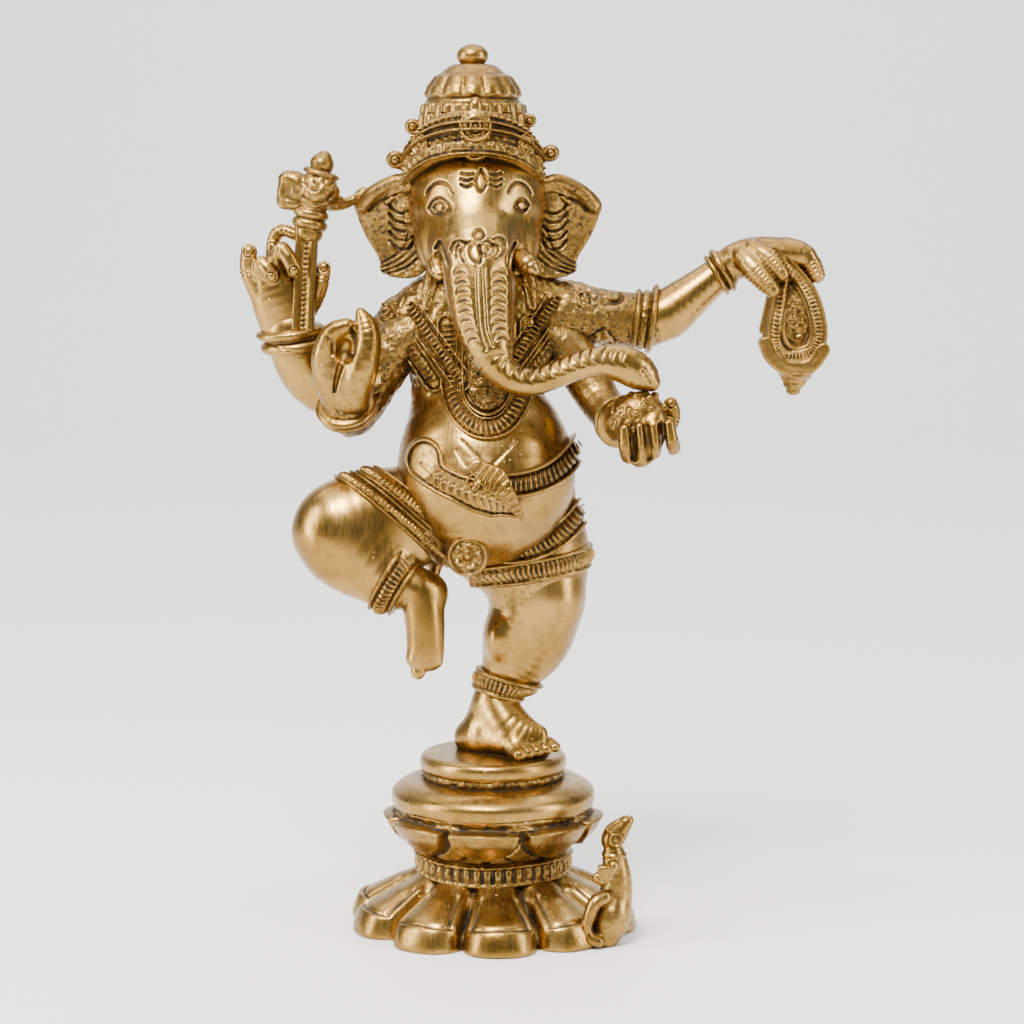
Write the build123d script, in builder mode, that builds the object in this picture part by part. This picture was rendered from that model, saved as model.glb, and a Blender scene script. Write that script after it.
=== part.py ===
"""Dancing elephant-headed figure on a lotus pedestal, a brass temple-craft casting about 220 mm tall.

The figure faces -Y, +Z is up, and +X is towards its left hand side.  Everything is laid out from the
pedestal's axis.  At the end all sections move together, so that the origin is the middle of the whole
statue's footprint box, on the surface that it stands on.  All lengths are millimetres.

The sections are those of the founder's wax model: pedestal rings, limbs, bands, head, ornaments and the
things held in the hands.  They meet face to face, as brazed sections do.
"""

import math
import os

from build123d import *

os.makedirs("parts", exist_ok=True)

# ---- pedestal -----------------------------------------------------------------------------------
WALL = 3.0  # casting wall of the hollow lower lotus
LOWER_PETALS = 10
UPPER_PETALS = 8
COLLAR_RIBS = 36
TIP_R = 36.6  # reach of the lower petals
LOWER_Z = (0.0, 14.0)
COLLAR_Z = (14.0, 18.6)
UPPER_Z = (18.6, 29.5)
CUSHION_Z = (29.5, 39.0)
DISC_Z = (39.0, 43.6)
COLLAR_R = 19.8
CUSHION_R = 25.6
DISC_R = 18.7

# ---- figure -------------------------------------------------------------------------------------
RELIEF = 1.4  # how far applied bands and chains stand out of the body
BAND_W = 5.0  # width of a cast band round a limb
BANGLE_W = 3.6
HEIGHT = 220.0

# Stations of each limb: x, y, z of its centre, then its half width and half depth there.
STANDING_FOOT = [(-7.6, 3.4, 46.8, 2.4, 2.8), (-4.0, 2.2, 47.4, 4.6, 5.4), (2.0, -1.0, 47.6, 5.0, 6.4),
                 (8.0, -4.8, 46.2, 3.6, 6.8), (12.6, -7.6, 45.0, 1.8, 5.2)]
STANDING_ANKLE = [(-2.6, 1.8, 46.5, 5.6, 6.0), (-1.2, 1.6, 51.5, 5.6, 6.0), (0.4, 1.4, 56.5, 5.2, 5.6),
                  (2.0, 1.2, 61.0, 5.2, 5.6)]
STANDING_LEG = [(1.2, 1.3, 58.0, 5.2, 5.6), (2.8, 1.5, 61.6, 5.8, 6.2), (5.4, 2.0, 66.0, 8.6, 8.8),
                (8.2, 2.0, 71.5, 11.0, 10.5), (10.6, 1.0, 79.0, 12.4, 12.0), (11.8, 0.5, 86.5, 12.0, 12.5),
                (12.4, 0.5, 92.0, 11.6, 12.2)]
HIPS = [(9.5, 1.5, 90.5, 12.5, 12.5), (5.0, 1.0, 98.0, 17.0, 15.0), (1.5, 0.5, 106.0, 20.0, 17.0),
        (0.0, 0.0, 114.0, 21.4, 17.5), (-1.0, 0.0, 119.0, 20.5, 16.5)]
TORSO = [(-3.0, -6.0, 97.5, 6.0, 6.0), (-2.2, -8.0, 102.0, 15.0, 13.5), (-1.6, -8.5, 111.0, 20.0, 18.8),
         (-2.0, -7.5, 119.5, 20.4, 18.5), (-3.4, -4.0, 128.0, 18.2, 14.5), (-4.2, -1.0, 137.0, 16.6, 12.5),
         (-3.4, 0.0, 147.0, 19.5, 12.5), (-2.4, 0.5, 155.0, 20.0, 11.0), (-2.6, 0.5, 162.0, 12.5, 8.5)]
RAISED_THIGH = [(-6.0, -3.0, 104.3, 11.5, 11.0), (-13.0, -6.0, 104.8, 12.2, 11.5),
                (-22.0, -9.0, 105.1, 11.8, 10.9), (-31.0, -11.8, 105.2, 10.4, 9.8),
                (-39.0, -13.0, 104.6, 8.6, 8.6), (-44.5, -13.5, 104.0, 5.6, 6.0),
                (-47.4, -13.5, 103.6, 1.8, 2.2)]
RAISED_SHIN = [(-43.5, -14.0, 100.5, 3.5, 4.5), (-38.0, -14.5, 97.0, 7.6, 7.6),
               (-31.0, -15.5, 93.0, 8.4, 7.8), (-24.0, -16.4, 89.0, 7.0, 6.6)]
RAISED_FOOT = [(-17.6, -16.6, 93.0, 3.2, 3.8), (-17.3, -17.2, 89.0, 5.0, 5.6), (-16.8, -18.4, 82.0, 4.9, 5.2),
               (-16.4, -19.4, 74.0, 4.2, 4.4), (-16.8, -20.2, 69.5, 4.2, 3.4)]
NOOSE_UPPER_ARM = [(8.0, 1.0, 152.0, 7.5, 8.0), (18.0, 1.5, 155.5, 7.6, 8.0), (27.0, 2.0, 155.6, 7.0, 7.4),
                   (38.5, 2.9, 152.2, 6.8, 6.8)]
NOOSE_FOREARM = [(37.5, 2.9, 152.0, 6.4, 6.6), (43.0, 3.0, 153.0, 6.5, 6.4), (47.5, 3.0, 156.4, 6.0, 6.0),
                 (52.5, 3.0, 160.8, 4.7, 4.8), (57.5, 3.0, 165.0, 4.0, 4.0)]
NOOSE_PALM = [(56.5, 3.0, 164.2, 3.8, 4.0), (60.5, 2.6, 166.4, 5.0, 4.8), (65.0, 1.6, 167.0, 5.8, 5.6),
              (70.5, 1.0, 167.4, 5.4, 5.6), (75.5, 0.5, 166.6, 3.2, 4.2)]
AXE_UPPER_ARM = [(-13.0, 3.0, 156.0, 5.0, 6.5), (-22.0, 4.5, 151.0, 6.6, 6.8), (-29.0, 4.8, 142.0, 6.4, 6.6),
                 (-35.0, 4.2, 134.8, 6.2, 6.4), (-40.0, 3.0, 132.4, 4.2, 5.0)]
AXE_FOREARM = [(-37.0, 3.4, 131.6, 4.0, 5.0), (-42.5, 1.6, 135.8, 7.2, 7.0), (-47.2, -0.8, 141.4, 7.6, 7.0),
               (-50.2, -2.4, 149.6, 6.6, 6.0)]
AXE_PALM = [(-50.0, -2.2, 148.0, 6.2, 5.2), (-51.2, -3.0, 153.0, 7.0, 4.8), (-52.8, -3.8, 158.5, 7.2, 4.4),
            (-54.0, -4.4, 163.5, 5.2, 3.6)]
BLESSING_ARM = [(-14.0, -2.0, 151.0, 5.5, 6.0), (-22.0, -3.0, 147.0, 6.2, 6.4), (-28.6, -3.6, 138.5, 5.8, 5.8),
                (-32.6, -6.4, 131.2, 4.6, 4.8), (-34.8, -11.4, 129.6, 4.4, 4.6), (-36.2, -16.4, 133.4, 4.8, 4.8)]
BLESSING_PALM = [(-36.2, -15.4, 133.0, 5.2, 4.6), (-36.2, -19.6, 138.5, 6.2, 4.3),
                 (-35.4, -21.8, 145.0, 6.2, 3.6), (-34.4, -22.4, 149.0, 5.6, 3.0)]
BOWL_ARM = [(10.0, -1.5, 150.0, 5.0, 5.0), (17.5, -2.0, 146.5, 5.8, 5.8), (22.5, -3.2, 139.5, 5.8, 5.8),
            (27.0, -7.0, 133.0, 5.4, 5.4), (32.0, -15.5, 128.6, 4.4, 4.6), (34.0, -19.5, 127.2, 4.2, 4.4)]
TRUNK = [(-4.0, -15.5, 177.0, 10.5, 6.5), (-4.0, -20.0, 171.5, 10.2, 8.0), (-3.3, -24.5, 164.0, 8.8, 7.6),
         (-2.0, -27.5, 156.0, 7.0, 6.8), (-0.4, -28.8, 150.0, 5.8, 6.0), (1.2, -29.4, 144.6, 4.8, 5.2),
         (4.0, -29.6, 140.8, 4.0, 4.6), (8.4, -29.6, 139.2, 3.7, 4.2), (14.0, -29.2, 140.2, 3.6, 4.0),
         (20.0, -28.8, 142.6, 3.7, 4.0), (26.0, -28.4, 144.0, 4.0, 4.2), (31.4, -28.0, 143.2, 4.4, 4.4),
         (36.2, -27.6, 140.6, 4.2, 4.2), (38.6, -27.4, 138.8, 2.8, 3.0)]
HEAD = [(-3.8, -4.0, 163.5, 9.0, 7.5), (-3.8, -7.0, 169.5, 14.0, 13.0), (-3.7, -8.0, 177.0, 16.6, 16.0),
        (-4.0, -7.0, 184.5, 17.0, 16.0), (-4.4, -4.5, 191.5, 15.5, 14.0), (-4.8, -2.0, 196.5, 14.0, 12.0)]

# Rings round a limb: centre, the way the limb runs there, half width, half depth.
STANDING_ANKLET = ((1.6, 1.2, 60.4), (0.3, 0.0, 1.0), 7.3, 7.3)
LEG_HEM = ((12.2, 0.5, 92.0), (-0.18, 0.0, 1.0), 13.8, 13.6)
THIGH_HEM = ((-17.6, -7.6, 105.0), (-0.86, -0.3, 0.36), 13.2, 12.4)
RAISED_ANKLET = ((-23.6, -16.4, 88.8), (0.84, -0.16, -0.5), 8.0, 7.6)
NOOSE_ARMLET = ((37.8, 2.9, 152.3), (1.0, 0.0, 0.1), 7.6, 7.6)
NOOSE_BANGLE = ((56.4, 3.0, 164.0), (0.8, 0.0, 0.6), 5.6, 5.6)
AXE_BANGLES = ((-50.0, -2.2, 148.0), (-0.2, -0.12, 1.0), 7.6, 7.2)
BLESSING_BANGLE = ((-36.0, -15.0, 132.6), (-0.1, -0.66, 0.74), 6.9, 6.6)
BOWL_BANGLE = ((31.8, -15.2, 128.7), (0.42, -0.86, -0.28), 5.9, 5.9)


# ---- helpers ------------------------------------------------------------------------------------
def square_to(centre, along):
    """A plane square to a limb, its x direction across the front view."""
    side = Vector(0, 1, 0).cross(Vector(*along))
    return Plane(origin=centre, x_dir=side, z_dir=Vector(*along))


def oval(half_width, half_depth, points=8):
    """Points round an ellipse, always from the same side, so that lofts through them don't twist."""
    turns = [2 * math.pi * i / points for i in range(points)]
    return [(half_width * math.cos(turn), half_depth * math.sin(turn)) for turn in turns]


def limb(stations, grow=0.0):
    """A limb lofted through its stations, each an oval square to the way the limb runs there."""
    centres = [Vector(*station[:3]) for station in stations]
    last = len(stations) - 1
    with BuildPart() as made:
        for i, (_, _, _, half_width, half_depth) in enumerate(stations):
            along = centres[min(i + 1, last)] - centres[max(i - 1, 0)]
            with BuildSketch(square_to(centres[i], along)):
                with BuildLine():
                    Spline(*oval(half_width + grow, half_depth + grow), periodic=True)
                make_face()
        loft()
    return made.part


def ring(centre, along, half_width, half_depth, width=BAND_W, beads=2):
    """A cast ring round a limb: a solid drum made of rounded beads side by side."""
    start = square_to(centre, along)
    bead = width / beads
    with BuildPart() as made:
        for i in range(beads):
            for height, swell in ((i, -0.6), (i + 0.5, 0.0), (i + 1, -0.6)):
                with BuildSketch(start.offset(height * bead - width / 2)):
                    with BuildLine():
                        Spline(*oval(half_width + swell, half_depth + swell), periodic=True)
                    make_face()
            loft()
    return made.part


def finger(points, radius):
    """A finger or a toe, from its knuckle to a rounded tip."""
    thickness = [1.0] * (len(points) - 1) + [0.6]
    return limb([(*point, radius * t, radius * t) for point, t in zip(points, thickness)])


def curled_finger(points, radius):
    """A bent finger: straight bones with a round joint at each point."""
    with BuildPart() as made:
        for start, end in zip(points, points[1:]):
            bone = Vector(*end) - Vector(*start)
            with BuildSketch(Plane(origin=start, z_dir=bone)):
                Circle(radius)
            extrude(amount=bone.length)
        with Locations(*points):
            Sphere(radius)
    return made.part


def side_of(ring_values, offset):
    """The plane of one face of a ring, offset along the limb from the ring's middle."""
    return square_to(ring_values[0], ring_values[1]).offset(offset)


def turned(points):
    """A solid turned about the pedestal's axis from (radius, height) points."""
    with BuildPart() as made:
        with BuildSketch(Plane.XZ):
            with BuildLine():
                Polyline(*points, close=True)
            make_face()
        revolve(axis=Axis.Z)
    return made.part


def cushion(z_span, foot_r, belly_r, top_r, belly_at=0.5):
    """A turned ring with a rounded side."""
    low, high = z_span
    with BuildPart() as made:
        with BuildSketch(Plane.XZ):
            with BuildLine():
                Line((0, low), (foot_r, low))
                ThreePointArc((foot_r, low), (belly_r, low + (high - low) * belly_at), (top_r, high))
                Line((top_r, high), (0, high))
                Line((0, high), (0, low))
            make_face()
        revolve(axis=Axis.Z)
    return made.part


def cut_back_to(*neighbours):
    """Cuts the section being built back to the faces of the sections that it is brazed to."""
    for neighbour in neighbours:
        add(neighbour.part, mode=Mode.SUBTRACT)


def drop_crumbs():
    """Keeps the largest solid of the section being built, without the crumbs that cuts leave."""
    add(solids().sort_by(SortBy.VOLUME)[-1], mode=Mode.REPLACE)


# ---- pedestal -----------------------------------------------------------------------------------
lower_petal = limb([(0, -16.0, 12.6, 4.0, 1.6), (0, -22.0, 10.2, 6.6, 2.4), (0, -29.0, 6.2, 10.4, 2.8),
                    (0, -34.0, 3.2, 9.0, 2.6), (0, -TIP_R, 2.0, 4.2, 1.4)])
upper_petal = limb([(0, -17.0, 20.4, 3.4, 1.2), (0, -21.0, 22.2, 6.6, 1.8), (0, -25.0, 25.0, 8.6, 2.0),
                    (0, -27.6, 27.4, 7.0, 1.5), (0, -28.8, 28.8, 2.6, 0.7)])

with BuildPart() as lotus_base:
    low, high = LOWER_Z
    add(turned([(0, low), (32.5, low), (33.0, 2.0), (28.0, 5.0), (23.0, 9.0), (20.0, 12.5),
                (19.2, high), (0, high)]))
    with PolarLocations(0, LOWER_PETALS):
        add(lower_petal)
    split(bisect_by=Plane.XY, keep=Keep.TOP)
    split(bisect_by=Plane.XY.offset(high), keep=Keep.BOTTOM)
    add(turned([(0, -1), (30.0, -1), (30.0, 0.6), (25.0, 3.4), (20.0, 7.0),
                (17.0, high - WALL), (0, high - WALL)]), mode=Mode.SUBTRACT)

with BuildPart() as ribbed_collar:
    low, high = COLLAR_Z
    add(turned([(0, low), (COLLAR_R, low), (COLLAR_R, high), (0, high)]))
    with PolarLocations(COLLAR_R, COLLAR_RIBS):
        with Locations((0, 0, (low + high) / 2)):
            Cylinder(0.9, high - low)

with BuildPart() as upper_lotus:
    low, high = UPPER_Z
    add(turned([(0, low), (18.8, low), (20.8, low + 2.5), (23.6, low + 6.0), (24.8, low + 9.0), (24.6, high),
                (0, high)]))
    with PolarLocations(0, UPPER_PETALS):
        add(upper_petal)
    split(bisect_by=Plane.XY.offset(low), keep=Keep.TOP)
    split(bisect_by=Plane.XY.offset(high), keep=Keep.BOTTOM)

with BuildPart() as lotus_cushion:
    add(cushion(CUSHION_Z, 23.6, CUSHION_R, 19.6, belly_at=0.42))

with BuildPart() as foot_disc:
    add(cushion(DISC_Z, 17.0, DISC_R, 16.2))

# ---- mouse at the pedestal's edge ---------------------------------------------------------------
MOUSE_X = 29.8
MOUSE_Y = -21.5

with BuildPart() as mouse_body:
    add(limb([(MOUSE_X - 2.6, MOUSE_Y - 1.5, 1.0, 3.8, 4.4), (MOUSE_X - 1.2, MOUSE_Y - 1.0, 5.0, 5.4, 5.4),
              (MOUSE_X + 0.6, MOUSE_Y, 11.0, 4.6, 4.6), (MOUSE_X + 1.0, MOUSE_Y + 0.6, 17.0, 3.7, 3.8),
              (MOUSE_X + 0.2, MOUSE_Y + 0.6, 22.4, 2.7, 2.7)]))
    for side in (-2.4, 1.8):
        add(finger([(MOUSE_X + side, MOUSE_Y - 2.4, 9.4), (MOUSE_X + side - 1.0, MOUSE_Y - 5.2, 5.8),
                    (MOUSE_X + side - 1.6, MOUSE_Y - 6.4, 1.6)], 2.0))
    cut_back_to(lotus_base)
    split(bisect_by=Plane.XY, keep=Keep.TOP)
    drop_crumbs()

with BuildPart() as mouse_head:
    add(limb([(MOUSE_X - 1.8, MOUSE_Y - 1.4, 21.4, 2.0, 2.0), (MOUSE_X - 0.4, MOUSE_Y, 24.0, 3.4, 3.2),
              (MOUSE_X + 1.4, MOUSE_Y + 0.6, 27.2, 2.6, 2.4), (MOUSE_X + 3.0, MOUSE_Y + 1.0, 29.8, 1.2, 1.2)]))
    for side in (-1, 1):
        with BuildSketch(Plane((MOUSE_X - 0.6 + side * 2.6, MOUSE_Y - 2.2, 24.6), z_dir=(side * 0.4, -1, 0.3))):
            Circle(1.9)
        extrude(amount=-1.4)
    cut_back_to(mouse_body)
    drop_crumbs()

with BuildPart() as mouse_sweet:
    with BuildSketch(Plane.XY.offset(14.8)):
        with Locations((MOUSE_X - 1.6, MOUSE_Y - 4.0)):
            RectangleRounded(3.6, 3.2, 0.7)
    extrude(amount=3.6)
    cut_back_to(mouse_body)
    drop_crumbs()

# ---- torso, hips and standing leg ---------------------------------------------------------------
with BuildPart() as torso:
    add(limb(TORSO))

with BuildPart() as standing_anklet:
    add(ring(*STANDING_ANKLET, width=4.4))

with BuildPart() as standing_foot:
    add(limb(STANDING_FOOT))
    add(limb(STANDING_ANKLE))
    for i in range(5):  # from the big toe back to the small one
        knuckle = Vector(5.4, -10.6, 45.2) + Vector(2.2, 1.9, 0.1) * i
        tip = knuckle + Vector(4.6, -2.6, -0.2) * (1 - 0.08 * i)
        add(finger([tuple(knuckle), tuple((knuckle + tip) * 0.5), tuple(tip)],
                   2.0 - 0.16 * i))
    split(bisect_by=Plane.XY.offset(DISC_Z[1]), keep=Keep.TOP)
    split(bisect_by=side_of(STANDING_ANKLET, -2.2), keep=Keep.BOTTOM)
    drop_crumbs()

with BuildPart() as leg_hem:
    add(ring(*LEG_HEM))

with BuildPart() as standing_leg:
    add(limb(STANDING_LEG))
    split(bisect_by=side_of(STANDING_ANKLET, 2.2), keep=Keep.TOP)
    split(bisect_by=side_of(LEG_HEM, -BAND_W / 2), keep=Keep.BOTTOM)

with BuildPart() as thigh_hem:
    add(ring(*THIGH_HEM, width=2 * BAND_W, beads=4))
    cut_back_to(torso)
    drop_crumbs()

with BuildPart() as raised_knee:
    add(limb(RAISED_THIGH))
    split(bisect_by=side_of(THIGH_HEM, BAND_W), keep=Keep.TOP)
    cut_back_to(torso)
    drop_crumbs()

with BuildPart() as dhoti:
    add(limb(HIPS))
    split(bisect_by=side_of(LEG_HEM, BAND_W / 2), keep=Keep.TOP)
    cut_back_to(torso, thigh_hem)
    drop_crumbs()

with BuildPart() as dhoti_fold:
    add(limb(RAISED_THIGH[:4]))
    split(bisect_by=side_of(THIGH_HEM, -BAND_W), keep=Keep.BOTTOM)
    cut_back_to(torso, dhoti)
    drop_crumbs()

# ---- raised leg ---------------------------------------------------------------------------------
with BuildPart() as raised_anklet:
    add(ring(*RAISED_ANKLET, width=BANGLE_W))
    cut_back_to(thigh_hem)
    drop_crumbs()

with BuildPart() as raised_shin:
    add(limb(RAISED_SHIN))
    split(bisect_by=side_of(RAISED_ANKLET, -BANGLE_W / 2), keep=Keep.BOTTOM)
    cut_back_to(raised_knee, thigh_hem, dhoti_fold)
    drop_crumbs()

with BuildPart() as raised_foot:
    add(limb(RAISED_FOOT))
    add(limb([(-23.0, -16.5, 88.6, 6.4, 6.2), (-20.0, -16.8, 88.0, 6.0, 6.0), (-17.0, -17.4, 86.8, 4.4, 4.8)]))
    for i in range(5):
        knuckle = Vector(-19.6 + 1.6 * i, -21.0 + 0.25 * i, 71.5 + 0.5 * i)
        tip = knuckle + Vector(-0.2 + 0.1 * i, -0.6, -6.2 + 0.5 * i)
        add(finger([tuple(knuckle), tuple((knuckle + tip) * 0.5), tuple(tip)], 1.35 - 0.08 * i))
    split(bisect_by=side_of(RAISED_ANKLET, BANGLE_W / 2), keep=Keep.TOP)
    cut_back_to(thigh_hem, dhoti_fold, raised_shin)
    drop_crumbs()

# ---- ornaments laid on the body -----------------------------------------------------------------
with BuildPart() as body_relief:
    add(limb(TORSO, grow=RELIEF))
    cut_back_to(torso, dhoti, dhoti_fold, thigh_hem)


def on_the_front(outline, depth=60.0):
    """A block behind an outline drawn on the front view, to cut the applied relief with."""
    with BuildPart() as made:
        with BuildSketch(Plane.XZ):
            with BuildLine():
                Spline(*outline, periodic=True)
            make_face()
        extrude(amount=depth)
    return made.part


def applied(outline):
    """The piece of the body's relief that lies inside an outline."""
    add(body_relief.part)
    add(on_the_front(outline), mode=Mode.INTERSECT)
    drop_crumbs()


with BuildPart() as long_necklace:
    add(body_relief.part)
    add(on_the_front([(-12.6, 152.0), (-11.6, 134.0), (-1.4, 125.2), (8.8, 134.0), (9.6, 152.0)]),
        mode=Mode.INTERSECT)
    add(on_the_front([(-8.2, 154.0), (-6.8, 137.0), (-1.4, 131.4), (4.0, 137.0), (5.2, 154.0)]),
        mode=Mode.SUBTRACT)
    drop_crumbs()

with BuildPart() as necklace_pendant:
    applied([(-5.2, 147.0), (-5.6, 138.0), (-1.4, 132.6), (2.8, 138.0), (2.4, 147.0)])

with BuildPart() as sash_end:
    applied([(-16.2, 123.0), (-19.6, 116.0), (-9.5, 109.0), (8.2, 105.4), (3.0, 114.2), (-9.0, 117.4),
             (-12.4, 122.4)])

with BuildPart() as waist_sash:
    add(body_relief.part)
    add(on_the_front([(-1.0, 115.6), (8.0, 116.0), (17.0, 119.6), (23.0, 127.0), (24.0, 119.0), (20.0, 113.6),
                      (10.0, 110.0), (3.0, 110.4)]), mode=Mode.INTERSECT)
    cut_back_to(sash_end)
    drop_crumbs()

with BuildPart() as belt_medallion:
    with BuildSketch(Plane((-5.9, -18.4, 96.4), z_dir=(0, -1, -0.12))):
        Circle(5.3)
    extrude(amount=3.6, taper=18)
    cut_back_to(torso, dhoti, dhoti_fold, thigh_hem, sash_end)
    drop_crumbs()

# ---- arms ---------------------------------------------------------------------------------------
with BuildPart() as noose_armlet:
    add(ring(*NOOSE_ARMLET))

with BuildPart() as noose_upper_arm:
    add(limb(NOOSE_UPPER_ARM))
    split(bisect_by=side_of(NOOSE_ARMLET, -BAND_W / 2), keep=Keep.BOTTOM)
    cut_back_to(torso, body_relief)
    drop_crumbs()

with BuildPart() as noose_bangle:
    add(ring(*NOOSE_BANGLE, width=BANGLE_W))

with BuildPart() as noose_forearm:
    add(limb(NOOSE_FOREARM))
    split(bisect_by=side_of(NOOSE_ARMLET, BAND_W / 2), keep=Keep.TOP)
    split(bisect_by=side_of(NOOSE_BANGLE, -BANGLE_W / 2), keep=Keep.BOTTOM)
    drop_crumbs()

with BuildPart() as noose:
    loop_plane = Plane((71.4, -1.0, 152.0), x_dir=(1, 0, 0), z_dir=(0, -1, 0))
    with BuildSketch(loop_plane):
        with BuildLine():
            Spline((-2.0, 15.6), (-4.6, 4.0), (-4.6, -7.6), (2.6, -12.4), (9.6, -7.4), (8.8, 3.0), (2.6, 15.6),
                   periodic=True)
        make_face()
    extrude(amount=3.2, both=True)
    with BuildSketch(loop_plane.offset(3.2)):
        with BuildLine():
            Spline((1.0, 3.6), (-0.4, -3.0), (2.8, -6.8), (5.4, -3.0), (3.6, 3.6), periodic=True)
        make_face()
    extrude(amount=-2.2, mode=Mode.SUBTRACT)
    with BuildSketch(loop_plane):
        with BuildLine():
            Spline((-7.0, -5.4), (-4.6, -10.6), (1.4, -15.0), (2.6, -18.0), (4.6, -15.0), (9.6, -11.0),
                   (10.4, -5.4), (2.6, -10.0), periodic=True)
        make_face()
    extrude(amount=2.8, both=True)

with BuildPart() as noose_hand:
    add(limb(NOOSE_PALM))
    for reach, drop in ((0.0, 8.8), (3.2, 9.0)):
        add(finger([(61.4 + reach, -1.4, 165.0), (64.2 + reach, -4.6, 162.0),
                    (67.2 + reach, -5.4, 167.0 - drop)], 2.7))
    for back in (0.0, 3.8):
        add(finger([(72.0, -1.6 + back, 167.0), (77.4, -2.6 + back, 165.4), (79.6, -2.8 + back, 160.2)], 2.9))
    split(bisect_by=side_of(NOOSE_BANGLE, BANGLE_W / 2), keep=Keep.TOP)
    cut_back_to(noose)
    drop_crumbs()

with BuildPart() as axe_bangles:
    add(ring(*AXE_BANGLES, width=BANGLE_W))

with BuildPart() as axe_upper_arm:
    add(limb(AXE_UPPER_ARM))
    cut_back_to(torso, body_relief)
    drop_crumbs()

with BuildPart() as axe_forearm:
    add(limb(AXE_FOREARM))
    split(bisect_by=side_of(AXE_BANGLES, -BANGLE_W / 2), keep=Keep.BOTTOM)
    cut_back_to(axe_upper_arm)
    drop_crumbs()

axe_foot = Vector(-47.0, -5.6, 151.0)
axe_neck = Vector(-43.8, -3.0, 175.4)
axe_way = (axe_neck - axe_foot).normalized()

with BuildPart() as axe_handle:
    with BuildSketch(square_to(axe_foot, axe_way)):
        RectangleRounded(5.6, 4.8, 1.2)
    extrude(amount=(axe_neck - axe_foot).length)
    split(bisect_by=side_of(AXE_BANGLES, BANGLE_W / 2), keep=Keep.TOP)

with BuildPart() as axe_head:
    with BuildSketch(square_to(axe_neck, axe_way)):
        Circle(4.4)
    extrude(amount=5.4)
    with Locations((-43.0, -2.6, 184.4)):
        Sphere(5.6)
    with Locations((-41.5, -2.6, 191.2)):
        Sphere(3.0)
    with BuildSketch(Plane((-42.2, -2.6, 188.0), z_dir=(0.18, 0, 1))):
        Circle(4.0)
    extrude(amount=2.2, taper=12)
    with Locations(Location((-49.8, -2.6, 184.5), (0, 0, 0))):
        Box(6.4, 7.6, 9.2)

with BuildPart() as axe_hand:
    add(limb(AXE_PALM))
    add(finger([(-55.0, -4.2, 158.0), (-58.0, -4.6, 164.0), (-58.8, -4.8, 169.0)], 2.4))
    for across, rise in ((0.0, 0.0), (3.8, 1.8)):
        add(curled_finger([(-55.6 + across, -4.0, 162.0 + rise), (-54.8 + across, -7.4, 163.4 + rise),
                           (-53.4 + across, -8.2, 159.4 + rise)], 2.4))
    add(curled_finger([(-53.0, -2.0, 162.0), (-52.6, -2.4, 169.4), (-49.4, -3.0, 171.8)], 2.3))
    add(curled_finger([(-46.0, -3.6, 153.4), (-43.0, -4.4, 157.6), (-42.4, -4.6, 162.0)], 2.2))
    split(bisect_by=side_of(AXE_BANGLES, BANGLE_W / 2), keep=Keep.TOP)
    cut_back_to(axe_handle, axe_head)
    drop_crumbs()

with BuildPart() as blessing_bangle:
    add(ring(*BLESSING_BANGLE, width=BANGLE_W))

with BuildPart() as blessing_arm:
    add(limb(BLESSING_ARM))
    split(bisect_by=side_of(BLESSING_BANGLE, -BANGLE_W / 2), keep=Keep.BOTTOM)
    cut_back_to(torso, body_relief, axe_upper_arm, axe_forearm)
    drop_crumbs()

with BuildPart() as blessing_hand:
    add(limb(BLESSING_PALM))
    for i in range(4):
        knuckle = Vector(-38.8 + 2.7 * i, -22.4, 146.6 + 0.4 * i)
        tip = knuckle + Vector(0.5, 0.4, 6.6 + (1.0 if i in (1, 2) else 0.0))
        add(finger([tuple(knuckle), tuple((knuckle + tip) * 0.5), tuple(tip)], 1.7))
    add(finger([(-31.4, -19.6, 138.6), (-29.4, -22.4, 143.0), (-29.6, -23.4, 147.6)], 1.9))
    split(bisect_by=side_of(BLESSING_BANGLE, BANGLE_W / 2), keep=Keep.TOP)
    cut_back_to(axe_forearm, blessing_arm)
    drop_crumbs()

with BuildPart() as bowl_bangle:
    add(ring(*BOWL_BANGLE, width=BANGLE_W))

with BuildPart() as bowl_arm:
    add(limb(BOWL_ARM))
    split(bisect_by=side_of(BOWL_BANGLE, -BANGLE_W / 2), keep=Keep.BOTTOM)
    cut_back_to(torso, body_relief, noose_upper_arm)
    drop_crumbs()

# ---- head ---------------------------------------------------------------------------------------
with BuildPart() as head:
    add(limb(HEAD))
    cut_back_to(torso, body_relief, noose_upper_arm, axe_upper_arm)
    drop_crumbs()

with BuildPart() as trunk:
    add(limb(TRUNK))
    cut_back_to(head, torso, body_relief)
    drop_crumbs()

with BuildPart() as sweet_bowl:
    with Locations((36.4, -27.0, 131.4)):
        Sphere(6.0)
    cut_back_to(trunk, bowl_bangle)
    drop_crumbs()

with BuildPart() as bowl_hand:
    add(limb([(34.0, -19.8, 127.4, 4.4, 4.6), (36.2, -25.0, 125.6, 7.6, 5.6), (36.8, -30.0, 125.6, 7.6, 4.6),
              (37.0, -33.6, 128.0, 6.0, 3.0)]))
    for i in range(4):
        add(finger([(31.6 + 3.1 * i, -31.0, 124.4), (31.4 + 3.2 * i, -33.6, 126.4),
                    (31.8 + 3.0 * i, -33.8, 129.6)], 1.8))
    add(finger([(40.8, -26.0, 127.0), (43.4, -26.8, 131.0), (42.4, -26.4, 135.0)], 2.0))
    split(bisect_by=side_of(BOWL_BANGLE, BANGLE_W / 2), keep=Keep.TOP)
    cut_back_to(sweet_bowl, trunk, torso, body_relief)
    drop_crumbs()


def tusk(root, tip, root_r, tip_r):
    """A tusk, as a tapered peg from the cheek."""
    middle = tuple((Vector(*root) + Vector(*tip)) * 0.5)
    middle_r = (root_r + tip_r) / 2
    return limb([(*root, root_r, root_r), (*middle, middle_r, middle_r), (*tip, tip_r, tip_r)])


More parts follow.
